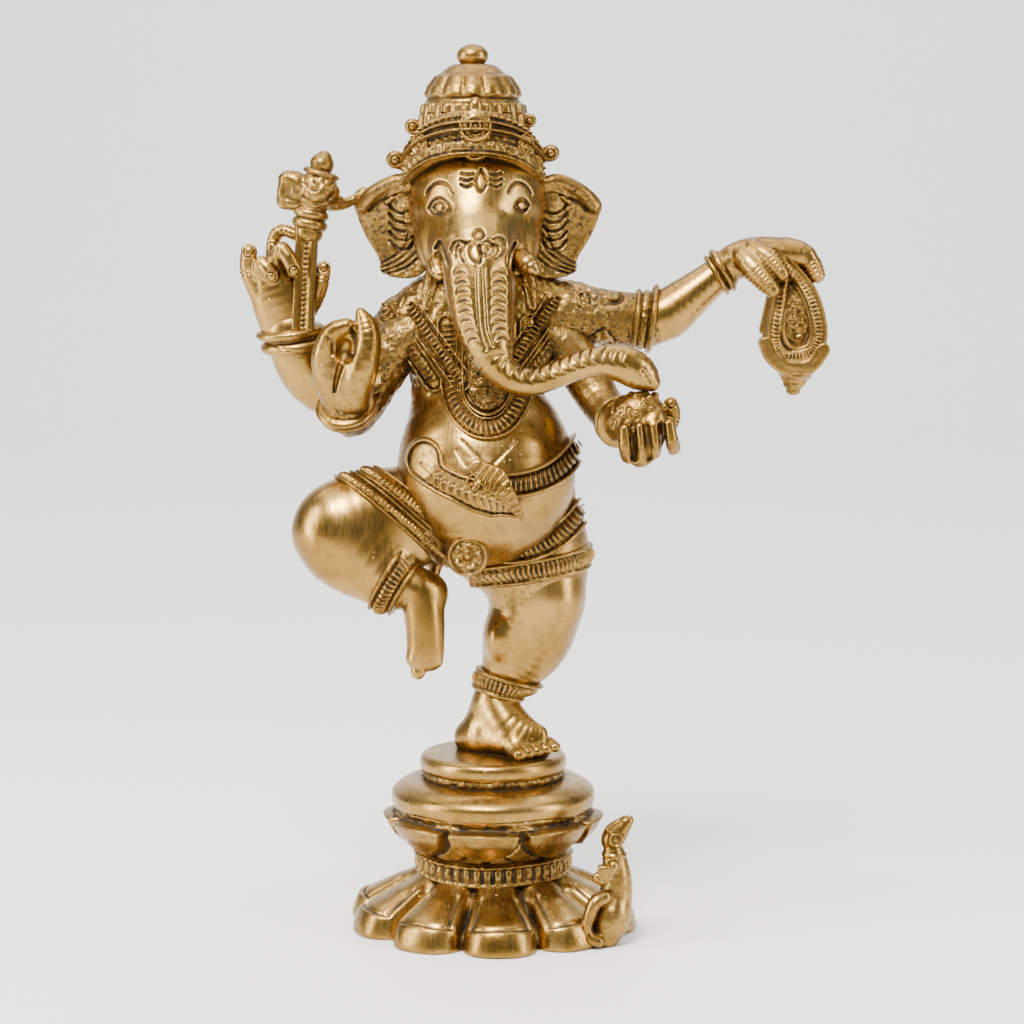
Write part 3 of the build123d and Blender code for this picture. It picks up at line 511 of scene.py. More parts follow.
# ---- mouse --------------------------------------------------------------------------------------
def mouse_body(p):
    body = limb(p, [(27.6, -22.5, 1.6, 3.4, 4.4), (28.8, -22.0, 6.0, 4.6, 4.8), (30.2, -21.0, 11.0, 4.2, 4.2),
                    (30.6, -20.6, 16.5, 3.6, 3.8), (30.0, -20.6, 21.0, 3.0, 3.0),
                    (29.6, -20.6, 23.4, 2.4, 2.6)])
    haunch = egg(p, (29.4, -22.4, 6.6), (4.0, 4.6, 5.4), (0.3, 0, 1))
    thigh = limb(p, [(27.4, -25.2, 12.4, 1.9, 2.0), (25.0, -26.2, 11.2, 1.8, 2.0),
                     (23.4, -26.6, 7.0, 1.5, 1.8),
                     (22.9, -26.8, 4.6, 1.3, 1.6)])
    shank = limb(p, [(23.0, -26.4, 4.8, 1.3, 1.6), (24.0, -26.8, 2.6, 1.6, 2.0),
                     (26.0, -27.0, 1.8, 1.5, 1.8)])
    arm = limb(p, [(29.6, -24.0, 20.0, 1.5, 1.5), (27.4, -25.6, 17.0, 1.3, 1.3),
                   (25.6, -25.8, 17.6, 1.3, 1.2)])
    body = blend(blend(body, haunch, 1.6), thigh, 0.5)
    body = blend(blend(body, shank, 0.4), arm, 0.4)
    neck = 0.35 * ridge(p[2] - 22.2, 0.7)
    return both(body - neck, 0.05 - p[2], 0.4)


def mouse_head(p):
    skull = egg(p, (29.9, -20.6, 26.6), (2.9, 3.0, 3.9), (0.55, 0, 0.84))
    snout = limb(p, [(30.6, -20.8, 28.0, 2.3, 2.3), (32.4, -20.8, 29.8, 1.9, 1.9),
                     (33.4, -20.8, 30.6, 1.3, 1.4)])
    head = blend(skull, snout, 1.2)
    brow = limb(p, [(28.6, -22.6, 28.8, 0.9, 0.9), (30.8, -22.6, 30.6, 0.8, 0.8)])
    head = blend(head, brow, 0.8)
    for side in (-1, 1):
        centre = (30.2, -20.6 + side * 2.9, 26.4)
        ear = slab(p, centre, (1.9, 0.8, 1.9), (0.2, 0.0, 1.0), 0.8)
        dish = np.sqrt((p[0] - centre[0]) ** 2 + (p[2] - centre[2]) ** 2)
        ear = ear - 0.35 * ridge(dish - 1.55, 0.5) + 0.3 * ridge(dish - 0.9, 0.5)
        head = np.minimum(head, ear)
        eye = ball(p, (32.6, -20.8 + side * 1.5, 29.4), 0.55)
        head = blend(head, eye, 0.15)
    return head


def mouse_sweet(p):
    sweet = slab(p, (27.6, -26.2, 18.9), (1.9, 1.6, 1.8), (0.05, 0, 1), 0.5)
    return sweet - 0.15 * noise(p, 1.2, 4)


sculpt(lower_lotus, (-39, -39, -0.6), (39, 39, 15.5), step=0.4, grain=0.15, nodes=["lotus_base"])
sculpt(collar, (-23, -23, 12), (23, 23, 20.5), grain=0.55, name="ribbed_collar")
sculpt(upper_lotus, (-31, -31, 17.8), (31, 31, 32.6), step=0.35, grain=0.3)
sculpt(cushion, (-27.5, -27.5, 28), (27.5, 27.5, 40), step=0.4, grain=0.1, name="lotus_cushion")
sculpt(disc_ground, (-20, -20, 36), (20, 20, 41), step=0.35, grain=0.9, nodes=["lotus_cushion"],
       name="groove_ground")
sculpt(foot_disc, (-20, -20, 37.6), (20, 20, 45), step=0.35, grain=0.1)
sculpt(mouse_body, (20, -30, -0.6), (36, -14, 25.5), step=0.24, grain=0.35)
sculpt(mouse_head, (25, -26, 21.5), (37, -15, 33), step=0.24, grain=0.35)
sculpt(mouse_sweet, (24, -29, 16), (31, -23, 22), step=0.24, grain=0.4)


# ---- legs and hips ------------------------------------------------------------------------------
def square_field(p, centre, along):
    """Distance beyond the plane square to a limb at a point, positive further along it."""
    u = Vector(along).normalized()
    return (p[0] - centre[0]) * u[0] + (p[1] - centre[1]) * u[1] + (p[2] - centre[2]) * u[2]


ANKLET = ((1.6, 1.2, 60.6), (0.3, 0.0, 1.0))
HEM = ((12.0, 0.5, 91.6), (-0.17, 0.0, 1.0))
THIGH_HEM = ((-21.8, -9.0, 105.4), (-0.64, -0.22, -0.74))
RAISED_ANKLET = ((-23.4, -16.4, 88.7), (0.84, -0.16, -0.5))


def toe(p, knuckle, tip, radius):
    """A toe with its nail."""
    k, t = np.array(knuckle), np.array(tip)
    body = limb(p, [(*k, radius, radius * 0.95), (*(k * 0.5 + t * 0.5), radius, radius * 0.9),
                    (*t, radius * 0.86, radius * 0.86)], steps=2)
    way = (t - k) / np.linalg.norm(t - k)
    nail_at = t + way * radius * 0.1 + np.array([0, 0, radius * 0.62]) * (0.3 + 0.7 * math.sqrt(1 - way[2] ** 2))
    return body, nail_at, way


def add_toes(p, foot, toes):
    for knuckle, tip, radius in toes:
        body, nail_at, way = toe(p, knuckle, tip, radius)
        foot = blend(foot, body, 0.5)
        nail = egg(p, tuple(nail_at), (radius * 0.62, radius * 0.3, radius * 0.62), tuple(way))
        foot = foot + 0.22 * ridge(nail, 0.2)
    return foot


STANDING_TOES = [((4.8 + 2.2 * i, -8.8 + 0.8 * i, 46.2 + 0.25 * i),
                  (6.6 + 2.25 * i, -11.8 + 1.0 * i, 45.1 + 0.3 * i),
                  2.15 - 0.15 * i) for i in range(5)]
RAISED_TOES = [((-17.6, -20.4, 71.6), (-18.2, -21.0, 67.6), 2.1),
               ((-15.4, -20.2, 73.0), (-15.4, -20.8, 70.4), 1.6),
               ((-13.9, -19.4, 74.0), (-13.7, -19.9, 71.8), 1.3)]


def standing_foot(p):
    foot = blend(limb(p, FOOT), limb(p, ANKLE), 2.4)
    bone = limb(p, [(1.2, -3.4, 56.0, 1.4, 1.4), (4.4, -7.0, 49.4, 1.5, 1.5), (6.0, -9.6, 46.6, 1.2, 1.2)])
    foot = blend(foot, bone, 2.6)
    heel = egg(p, (-5.0, 3.2, 46.8), (4.6, 5.0, 4.4))
    foot = blend(foot, heel, 1.5)
    instep = limb(p, [(0.4, 0.4, 56.0, 5.2, 5.6), (3.6, -2.6, 51.4, 5.6, 5.6), (7.6, -5.6, 48.4, 5.2, 4.0),
                      (11.0, -7.0, 47.2, 4.6, 2.6)])
    foot = blend(foot, instep, 2.0)
    foot = add_toes(p, foot, STANDING_TOES)
    return both(foot, 42.9 - p[2], 0.3)


def standing_leg(p):
    leg = blend(limb(p, LEG), egg(p, (14.6, -3.0, 83.0), (7.6, 8.6, 8.6)), 3.0)
    return blend(leg, egg(p, (1.6, -3.6, 73.4), (3.6, 5.0, 5.4)), 3.0)


def standing_anklet(p):
    body = blend(limb(p, ANKLE), limb(p, LEG), 1.5)
    return hoop(p, body - 0.3, *ANKLET, [(-2.0, 1.4, 1.2), (0.2, 3.4, 1.5, 36, 0), (2.3, 1.4, 1.2)])


def leg_hem(p):
    body = blend(limb(p, LEG), limb(p, HIPS), 3.0)
    return hoop(p, body, *HEM, [(2.4, 1.3, 1.4), (0.0, 3.9, 1.8, 70, 0.25), (-2.5, 1.4, 1.1)])


def hips(p):
    body = blend(limb(p, HIPS), limb(p, LEG[4:]), 4.0)
    body = blend(body, limb(p, THIGH[:3]), 3.0)
    drape = limb(p, [(-12.5, -10.0, 100.0, 1.6, 2.0), (-14.2, -9.0, 92.0, 1.6, 2.4),
                     (-15.4, -8.0, 84.0, 0.9, 1.6)])
    body = blend(body, drape, 2.0)
    return both(body, p[2] - 118.0, 3.0)


def hip_band(p):
    """The wrapped cloth's ridged border, from the medallion round the standing side's hip."""
    body = blend(limb(p, HIPS), limb(p, LEG[4:]), 4.0)
    path = [(-1.0, 96.4), (5.0, 96.2), (11.0, 97.4), (17.0, 100.4), (23.0, 105.6), (26.0, 108.6)]
    rows = [(2.7, 1.2, 1.5), (0.1, 3.9, 2.0, 1.3, 0.6), (-2.6, 1.3, 1.4)]
    return strip(p, body, path, rows, front=3)


def hip_ground(p):
    """Granular ground round the medallion."""
    body = blend(limb(p, HIPS), limb(p, THIGH[:3]), 3.0)
    grain = 0.28 * noise(p, 0.9, 31)
    region = egg(p, (-8.0, -18.0, 98.6), (9.5, 8.0, 4.4), (0.25, 0, 1))
    return both(body - 0.55 - grain, region, 0.5)


def raised_leg(p):
    leg = blend(limb(p, THIGH), limb(p, SHIN), 5.0)
    knee = egg(p, (-38.4, -13.0, 102.6), (9.6, 9.2, 9.6))
    return blend(leg, knee, 4.0)


def thigh_hem(p):
    body = raised_leg(p)
    rows = [(4.3, 0.9, 1.1), (2.7, 2.3, 1.3, 76, 0.35), (0.9, 0.9, 1.1), (-0.2, 0.8, 0.9),
            (-2.0, 2.7, 1.4, 68, 0.35), (-3.9, 0.9, 1.1)]
    return both(hoop(p, body, *THIGH_HEM, rows), p[0] + 7.0, 0.3)


def raised_anklet(p):
    body = limb(p, SHIN + RAISED_FOOT[1:2])
    return hoop(p, body, *RAISED_ANKLET, [(-2.6, 1.3, 1.4), (-0.2, 3.6, 1.8, 40, 0), (2.3, 1.3, 1.3)])


def raised_foot(p):
    foot = limb(p, RAISED_FOOT, steps=8)
    heel = egg(p, (-14.4, -15.6, 86.6), (3.4, 4.6, 4.0))
    foot = blend(foot, heel, 2.4)
    foot = add_toes(p, foot, RAISED_TOES)
    return foot


def belt_medallion(p):
    return boss(p, (-6.0, -20.4, 96.2), (-0.05, -1, -0.08), 5.2, 2.6, petals=5)


sculpt(standing_foot, (-12, -18, 42.4), (20, 10, 62.5), step=0.25, grain=0.1)
sculpt(standing_anklet, (-8, -9.5, 54), (12, 11, 67), step=0.24, grain=0.5)
sculpt(standing_leg, (-7, -14, 57), (27, 15, 98), grain=0.08)
sculpt(leg_hem, (-6, -17, 84), (29, 17, 100), grain=0.45)
sculpt(hips, (-34, -21, 80), (26, 20, 124), grain=0.35, nodes=["dhoti", "dhoti_fold"])
sculpt(hip_band, (-16, -22, 88), (27, 21, 112), grain=0.45, nodes=["dhoti"])
sculpt(hip_ground, (-22, -24, 88), (8, -4, 108), grain=1.0, nodes=["dhoti"])
sculpt(raised_leg, (-51, -26, 78), (2, 11, 120), grain=0.03, nodes=["raised_knee", "raised_shin"])
sculpt(thigh_hem, (-42, -24, 86), (-5, 10, 122), grain=0.5)
sculpt(raised_anklet, (-32, -27, 78), (-14, -6, 99), step=0.25, grain=0.5)
sculpt(raised_foot, (-28, -26, 62), (-8, -8, 97), step=0.25, grain=0.1)
sculpt(belt_medallion, (-12.5, -25, 90), (0.5, -14, 102.5), step=0.2, grain=0.4)


# ---- torso --------------------------------------------------------------------------------------
def torso_body(p):
    body = limb(p, TORSO)
    belly = egg(p, (-1.6, -10.4, 113.4), (20.6, 17.0, 12.0))
    return blend(body, belly, 3.0)


def torso(p):
    body = torso_body(p)
    shoulders = limb(p, [(-22.0, 3.0, 152.0, 7.0, 7.0), (-12.0, 1.5, 157.0, 6.0, 7.0),
                         (6.0, 1.5, 158.0, 6.0, 7.0),
                         (20.0, 2.0, 155.0, 7.0, 7.0)])
    body = blend(body, shoulders, 4.0)
    for x in (-12.6, 6.6):
        body = blend(body, egg(p, (x, -7.4, 142.5), (7.6, 5.6, 6.6)), 3.0)
    chest = ease(p[2], 132, 137) * ease(-p[1], -6, 0)
    body = body + 0.3 * noise(p, 1.1, 55) * chest
    folds = [[(-7.4, 124.6), (-0.8, 118.2)], [(5.8, 124.6), (-0.8, 118.2)], [(-8.6, 122.4), (-6.4, 118.8)]]
    return engrave(p, body, folds, width=0.3, depth=0.3, front=-14)


NECKLACE = [(-11.0, 152.0), (-10.6, 141.0), (-9.4, 134.0), (-5.6, 129.2), (-1.2, 127.8), (3.2, 129.2),
            (6.8, 134.0),
            (8.4, 141.0), (9.0, 152.0)]
CORD = [(-6.6, 152.0), (-6.6, 140.0), (-5.6, 134.4), (-1.2, 131.6), (3.0, 134.4), (4.2, 140.0), (4.8, 152.0)]


def long_necklace(p):
    return strip(p, torso_body(p), NECKLACE,
                 [(-2.4, 0.9, 1.1), (0.0, 3.8, 1.7, 1.25, 0.5), (2.2, 0.8, 1.3)], front=-4)


def necklace_cord(p):
    return strip(p, torso_body(p), CORD, [(-0.8, 1.1, 1.5), (0.8, 1.1, 1.5, 0.9, 0.9)], front=-4)


def necklace_pendant(p):
    d = off_line(p[0], p[2], [(-1.0, 150.0), (-1.0, 136.4)])
    ground = 0.45 * noise(p, 1.15, 12) + 0.2 * noise(p, 0.6, 13)
    return both(both(torso_body(p) - 0.9 - ground, d - 4.6, 0.5), p[1] + 6, 0.3)


def sash_end(p):
    """The sash's loose end, a leaf that lies across the belly: a round lobe, then a feathered blade."""
    body = torso_body(p)
    x, z = p[0], p[2]
    lobe = np.sqrt((x + 16.4) ** 2 + ((z - 120.4) / 1.05) ** 2) - 4.6
    d, along, side = line_distance(x, z, [(-17.0, 119.0), (-12.6, 115.6), (-5.0, 112.4), (2.0, 110.2),
                                          (6.8, 106.6)])
    half = np.interp(along, [0, 5, 10, 16, 21, 27], [4.2, 3.6, 3.6, 4.4, 4.4, 0.8])
    outline = blend(lobe, d - half, 1.2)
    upper = side * d
    height = 1.55 + 0.35 * ridge(upper, 0.5)
    ribs = 0.5 + 0.5 * np.cos(2 * math.pi * (along - 0.7 * np.abs(upper)) / 1.9)
    height = height + 0.45 * ribs * ease(-outline, 0.7, 1.6) * (along > 3)
    height = height + 0.5 * ridge(outline + 0.55, 0.55)
    height = height - 0.5 * ridge(outline + 1.2, 0.35)
    piece = both(both(body - height, outline, 0.5), p[1] + 8, 0.3)
    return both(piece, -(body + 1.0), 0.1)


def sash_tail(p):
    """The pointed tail under the sash's knot."""
    body = torso_body(p)
    d, along, _ = line_distance(p[0], p[2], [(-3.6, 118.6), (1.0, 115.2), (4.2, 111.0), (7.0, 106.0)])
    half = np.interp(along, [0, 5, 10, 17], [2.0, 3.4, 2.2, 0.5])
    height = 2.0 + 0.4 * (0.5 + 0.5 * np.cos(2 * math.pi * along / 1.5))
    piece = both(both(body - height, d - half, 0.5), p[1] + 8, 0.3)
    return both(piece, -(body + 1.0), 0.1)


def waist_sash(p):
    body = torso_body(p)
    path = [(-3.0, 114.4), (4.0, 113.8), (11.0, 114.8), (17.0, 117.4), (22.0, 121.8), (25.0, 125.0)]
    rows = [(3.1, 1.3, 2.2), (0.4, 4.2, 3.0, 1.25, -0.8), (-2.4, 1.4, 2.0)]
    return strip(p, body, path, rows, front=9)


def garland(side):
    """A ridged garland from the neck to the armpit. The side is 1 for the viewer's right, and -1."""

    def field(p):
        body = torso(p)
        x = -3.0
        path = [(x + side * 20.5, 160.5), (x + side * 15.0, 152.5), (x + side * 8.6, 144.0),
                (x + side * 4.8, 138.6)]
        rows = [(-2.5, 0.9, 1.1), (0.0, 3.4, 2.0, 1.15, 0.3), (2.5, 0.9, 1.1)]
        return strip(p, body, path, rows, front=-2)

    return field


def collar_band(side):
    """A broad ridged collar over the shoulder."""

    def field(p):
        body = torso(p)
        x = -3.0
        path = [(x + side * 25.5, 157.5), (x + side * 20.5, 150.0), (x + side * 15.0, 143.0),
                (x + side * 11.5, 138.0)]
        rows = [(-2.2, 0.8, 0.9), (0.0, 3.2, 1.5, 1.3, -0.5), (2.2, 0.8, 0.9)]
        return strip(p, body, path, rows, front=4)

    return field


def shoulder_lock(side):
    """A tassel of the headdress that falls on the shoulder."""

    def field(p):
        x = -3.2
        top = (x + side * 11.5, -4.6, 166.0)
        low = (x + side * 13.0, -8.0, 156.0)
        mid = tuple((a + b) / 2 for a, b in zip(top, low))
        lock = limb(p, [(*top, 1.4, 1.6), (*mid, 1.9, 2.0), (*low, 1.2, 1.2)])
        lock = lock + 0.25 * ridge(np.sin((p[0] * side + p[2] * 0.35) * 3.2), 0.5)
        return np.minimum(FAR, lock)

    return field


sculpt(torso, (-32, -30, 92), (30, 17, 168), step=0.36, grain=0.12)
sculpt(long_necklace, (-15, -30, 121), (13, -3, 154), step=0.24, grain=0.4)
sculpt(necklace_cord, (-9.5, -30, 127), (8, -3, 154), step=0.22, grain=0.4, nodes=["long_necklace"])
sculpt(necklace_pendant, (-6.5, -28, 130), (4.8, -5, 151), step=0.24, grain=0.9)
sculpt(sash_end, (-24, -32, 102), (10, -6, 128), step=0.24, grain=0.3)
sculpt(sash_tail, (-8, -32, 103), (11, -8, 123), step=0.24, grain=0.4, nodes=["sash_end"])
sculpt(waist_sash, (-7, -33, 107), (28, 11, 129), step=0.27, grain=0.5)
for side, hand in ((1, "left"), (-1, "right")):
    low_x, high_x = sorted((-3.0 + side * 1.0, -3.0 + side * 27.0))
    for name, field, low, high, grain in (
        ("garland", garland(side), (low_x, -20, 134), (high_x, 2, 165), 0.6),
        ("collar", collar_band(side), (low_x, -18, 134), (high_x + 2, 6, 162), 0.75),
        ("shoulder_locks", shoulder_lock(side), (low_x - 4, -12, 152), (high_x + 4, 4, 169), 0.6),
    ):
        sculpt(field, low, high, step=0.26, grain=grain, nodes=[], name=f"{name}_{hand}")


# ---- arms ---------------------------------------------------------------------------------------
NOOSE_UPPER_ARM = [(8.0, 1.0, 152.0, 7.5, 8.0), (18.0, 1.5, 154.0, 7.8, 8.0), (27.0, 2.0, 153.0, 7.0, 7.4),
                   (38.5, 2.9, 152.2, 6.6, 6.8)]
NOOSE_FOREARM = [(37.5, 2.9, 152.2, 6.4, 6.6), (43.0, 3.0, 153.6, 6.4, 6.4), (47.5, 3.0, 157.0, 5.6, 5.8),
                 (52.5, 3.0, 161.0, 4.7, 4.8), (57.5, 3.0, 165.0, 4.0, 4.0)]
NOOSE_PALM = [(56.5, 3.0, 164.4, 3.8, 4.0), (60.5, 2.2, 167.0, 4.6, 4.8), (65.0, 1.6, 168.4, 4.6, 5.4),
              (70.0, 1.0, 169.0, 4.0, 5.2), (75.5, 0.5, 168.6, 3.6, 4.6)]
AXE_UPPER_ARM = [(-13.0, 3.0, 156.0, 5.0, 6.5), (-22.0, 4.5, 152.0, 6.6, 6.8), (-29.0, 4.8, 142.0, 6.4, 6.6),
                 (-35.0, 4.2, 134.8, 6.2, 6.4), (-40.0, 3.0, 132.4, 4.2, 5.0)]
AXE_FOREARM = [(-35.4, 3.4, 132.2, 4.4, 5.0), (-40.6, 2.0, 134.6, 6.6, 7.0), (-46.0, -0.4, 140.6, 7.4, 7.0),
               (-50.2, -2.4, 150.2, 6.6, 6.0)]
AXE_PALM = [(-50.0, -2.2, 148.0, 6.2, 5.2), (-51.2, -3.0, 153.0, 6.8, 4.8), (-52.8, -3.8, 158.5, 6.8, 4.4),
            (-54.4, -4.4, 163.5, 5.0, 3.6)]
BLESSING_ARM = [(-14.0, -2.0, 150.0, 5.5, 6.0), (-22.5, -3.0, 147.5, 6.4, 6.6),
                (-29.0, -4.0, 138.5, 6.4, 6.4),
                (-32.8, -6.6, 131.8, 5.8, 6.0), (-34.6, -11.0, 130.0, 5.6, 5.6),
                (-35.8, -16.0, 132.6, 5.6, 5.4)]
BLESSING_PALM = [(-35.6, -15.6, 132.0, 5.2, 4.8), (-36.2, -19.0, 137.5, 6.2, 4.5),
                 (-35.2, -20.4, 143.5, 6.2, 3.6),
                 (-34.0, -20.8, 148.4, 4.8, 2.8), (-33.4, -20.8, 151.0, 3.0, 1.8)]
BOWL_ARM = [(10.0, -1.5, 150.0, 5.0, 5.0), (17.5, -2.0, 146.5, 5.8, 5.8), (22.5, -3.2, 139.5, 5.8, 5.8),
            (26.6, -7.0, 132.6, 5.2, 5.4), (31.0, -15.5, 128.2, 4.6, 4.8), (34.0, -19.5, 127.2, 4.2, 4.4)]
NOOSE_ARMLET = ((37.6, 2.9, 152.3), (1.0, 0.0, -0.12))
NOOSE_BANGLE = ((56.6, 3.0, 164.6), (0.84, 0.0, 0.54))
AXE_BANGLES = ((-50.0, -2.2, 148.2), (-0.14, -0.12, 1.0))
BLESSING_BANGLE = ((-36.0, -15.0, 131.6), (-0.1, -0.66, 0.74))
BOWL_BANGLE = ((31.2, -15.2, 128.4), (0.42, -0.86, -0.28))


def digit(p, points, radius, nail=None, taper=0.12):
    """A finger through its joints, with creases over the middle ones and a nail towards a direction."""
    last = len(points) - 1
    sizes = [radius * (1 - taper * i / last) for i in range(last + 1)]
    body = limb(p, [(*q, r, r) for q, r in zip(points, sizes)], steps=2)
    for i in range(1, last):
        way = np.array(points[i + 1]) - np.array(points[i - 1])
        way = way / np.linalg.norm(way)
        near = ball(p, points[i], radius * 1.7) < 0
        for shift in (-0.5, 0.5):
            body = body + 0.3 * ridge(square_field(p, tuple(np.array(points[i]) + way * shift), way),
                                      0.3) * near
    if nail is not None:
        way = np.array(points[-1]) - np.array(points[-2])
        way = way / np.linalg.norm(way)
        face = np.array(nail) / np.linalg.norm(nail)
        at = np.array(points[-1]) + face * sizes[-1] * 0.78 + way * sizes[-1] * 0.15
        plate = egg(p, tuple(at), (sizes[-1] * 0.6, sizes[-1] * 0.6, sizes[-1] * 0.8), tuple(way))
        body = cut(body, np.abs(plate) - 0.14, 0.12)
    return body


def join(p, palm, digits, k=0.7):
    for points, radius, nail in digits:
        palm = blend(palm, digit(p, points, radius, nail), k)
    return palm


def noose_arm(p):
    body = limb(p, NOOSE_UPPER_ARM)
    arcs = [[(20.0 + 2.2 * i, 161.0), (24.0 + 2.2 * i, 157.0 + 0.2 * i), (30.6 + 0.6 * i, 156.6 + i * 0.5),
             (33.4 - 1.2 * i, 160.4)] for i in range(3)]
    arcs += [[(16.0, 149.0), (22.0, 147.6), (27.0, 150.4), (30.0, 148.0)],
             [(17.0, 146.6), (23.0, 145.0), (29.0, 147.0)]]
    body = engrave(p, body, arcs, width=0.5, depth=0.5, front=3.0)
    return body + 0.3 * noise(p, 1.0, 21) * ease(33 - p[0], 0, 6)


def noose_armlet(p):
    body = blend(limb(p, NOOSE_UPPER_ARM), limb(p, NOOSE_FOREARM), 1.0)
    return hoop(p, body, *NOOSE_ARMLET, [(-2.1, 1.5, 1.1), (-0.2, 2.0, 0.6, 22, 0), (1.9, 1.9, 1.5)])


def noose_forearm(p):
    return limb(p, NOOSE_FOREARM)


def noose_bangle(p):
    body = limb(p, NOOSE_FOREARM)
    return hoop(p, body, *NOOSE_BANGLE, [(-1.4, 1.6, 1.4), (0.5, 2.2, 1.9), (1.9, 1.0, 1.0)])


def ribbed(p, body, way, pitch, height, centre, reach):
    """Ribs square to a direction, near a point."""
    u = square_field(p, centre, way)
    return body - height * (0.5 + 0.5 * np.cos(2 * math.pi * u / pitch)) * ease(reach - np.abs(u), 0, 0.8)


def noose_hand(p):
    palm = limb(p, NOOSE_PALM)
    first = limb(p, [(61.8, -1.6, 168.0, 2.8, 2.6), (64.4, -4.6, 165.0, 2.9, 2.4),
                     (68.8, -5.4, 160.0, 2.0, 1.9)], steps=2)
    first = ribbed(p, first, (0.66, 0, -0.75), 1.05, 0.32, (66.0, -5.0, 163.2), 3.6)
    second = limb(p, [(64.4, -1.4, 170.0, 2.4, 2.4), (67.8, -4.2, 168.0, 2.4, 2.3),
                      (71.2, -4.8, 164.0, 1.8, 1.8)], steps=2)
    second = ribbed(p, second, (0.62, 0, -0.78), 1.05, 0.32, (69.0, -4.4, 166.6), 3.4)
    third = limb(p, [(72.6, 0.6, 170.6, 2.4, 2.6), (77.4, -1.0, 168.4, 2.6, 2.6),
                     (80.0, -1.8, 163.6, 2.0, 2.2)], steps=2)
    third = ribbed(p, third, (0.5, 0, -0.86), 1.1, 0.34, (79.4, -1.6, 164.6), 2.6)
    back = limb(p, [(71.0, 3.6, 170.0, 2.4, 2.4), (75.6, 3.4, 167.6, 2.4, 2.4),
                    (78.2, 3.0, 162.4, 1.8, 2.0)], steps=2)
    for piece in (first, second, third, back):
        palm = blend(palm, piece, 0.5)
    return palm


NOOSE_OUTLINE = [(69.6, 171.0), (75.0, 166.4), (79.8, 160.4), (82.3, 153.4), (82.6, 147.4), (80.4, 143.2),
                 (75.8, 141.4),
                 (71.0, 142.4), (68.0, 146.0), (67.6, 151.0), (68.8, 157.4), (69.4, 162.6), (67.6, 168.0)]
NOOSE_EYE = [(73.6, 162.6), (76.4, 157.4), (78.2, 151.8), (77.8, 147.6), (75.4, 146.0), (73.0, 147.6),
             (72.2, 151.6),
             (72.6, 156.8)]


def inside(p, points):
    """Signed distance to a closed outline in the plane that faces the front."""
    d, along, side = line_distance(p[0], p[2], points + points[:2])
    middle = [sum(v) / len(points) for v in zip(*points)]
    _, _, at_middle = line_distance(np.array([middle[0]]), np.array([middle[1]]), points + points[:2])
    return d * side * -at_middle[0], along


def noose(p):
    outer, along = inside(p, NOOSE_OUTLINE)
    eye, _ = inside(p, NOOSE_EYE)
    level = -3.6  # the plate's front
    bands = 0.7 * ridge(outer + 0.5, 0.6)
    bands = bands + 0.75 * ridge(outer + 2.3, 1.5) * (0.6 + 0.4 * np.cos(2 * math.pi * along / 1.15))
    bands = bands - 0.5 * ridge(outer + 3.7, 0.45)
    bands = bands + 0.55 * ridge(eye - 0.9, 1.0)
    face = level - bands - p[1]
    plate = both(both(outer, face, 0.4), p[1] - 2.4, 0.4)
    pit = both(eye, p[1] - (level + 1.9) - 0.35 * noise(p, 0.8, 3), 0.2)
    plate = cut(plate, pit, 0.3)
    d = off_line(p[0], p[2], [(67.6, 146.8), (69.0, 143.6), (71.8, 141.2), (76.0, 140.2), (79.4, 142.0),
                                         (81.6, 145.2)])
    cup = both(d - 1.8, np.abs(p[1] + 1.0) - 3.4, 0.8)
    cup = blend(cup, ball(p, (67.8, -1.0, 146.2), 1.6), 0.5)
    stem = limb(p, [(75.2, -1.0, 141.0, 5.0, 3.4), (74.8, -1.0, 138.4, 3.4, 2.8),
                    (74.6, -1.0, 135.6, 1.9, 1.9)], steps=2)
    cup = blend(cup, stem, 1.0) + 0.12 * np.cos(p[2] * 3.2) * ease(139.5 - p[2], 0, 0.6)
    d = off_line(p[0], p[2], [(67.4, 150.0), (68.6, 155.6), (69.6, 161.0)])
    strap = both(d - 1.3, np.abs(p[1] - 0.6) - 1.6, 0.5)
    return blend(blend(plate, cup, 0.3), strap, 0.3)


def axe_arm(p):
    return limb(p, AXE_UPPER_ARM) - 0.3 * noise(p, 1.0, 61)


def axe_forearm(p):
    return limb(p, AXE_FOREARM)


def axe_bangles(p):
    body = blend(limb(p, AXE_FOREARM), limb(p, AXE_PALM), 1.0)
    rows = [(-1.9, 3.0, 1.5), (1.4, 2.6, 1.6)]
    band = hoop(p, body, *AXE_BANGLES, rows)
    seam = square_field(p, (-56.0, -6.0, 147.2), (0.3, 0, 1.0))
    return band + 0.35 * ridge(seam, 0.4) * (p[0] < -47)


def axe_hand(p):
    palm = limb(p, AXE_PALM)
    palm = blend(palm, egg(p, (-47.0, -4.6, 156.0), (3.4, 3.0, 4.6)), 1.4)
    return join(p, palm, [
        ([(-57.6, -4.4, 159.0), (-60.0, -4.8, 164.6), (-59.8, -5.2, 169.4)], 2.3, (0, -1, 0)),
        ([(-57.6, -5.0, 163.6), (-56.4, -7.4, 166.6), (-54.0, -8.6, 163.8)], 2.1, (0, -1, -0.2)),
        ([(-54.0, -5.0, 165.6), (-51.4, -8.4, 170.0), (-48.4, -9.4, 165.2)], 2.2, (0, -1, -0.2)),
        ([(-54.2, -1.6, 164.0), (-54.2, -1.0, 171.8), (-52.0, -1.0, 174.6), (-48.6, -2.0, 173.6)], 1.8, None),
        ([(-46.2, -3.6, 153.4), (-43.2, -5.0, 158.0), (-41.6, -5.8, 163.2), (-41.4, -6.0, 165.6)], 1.9,
         (0, -1, 0))])


HANDLE_FOOT = (-46.6, -6.4, 150.0)
HANDLE_TOP = (-45.4, -4.6, 176.2)


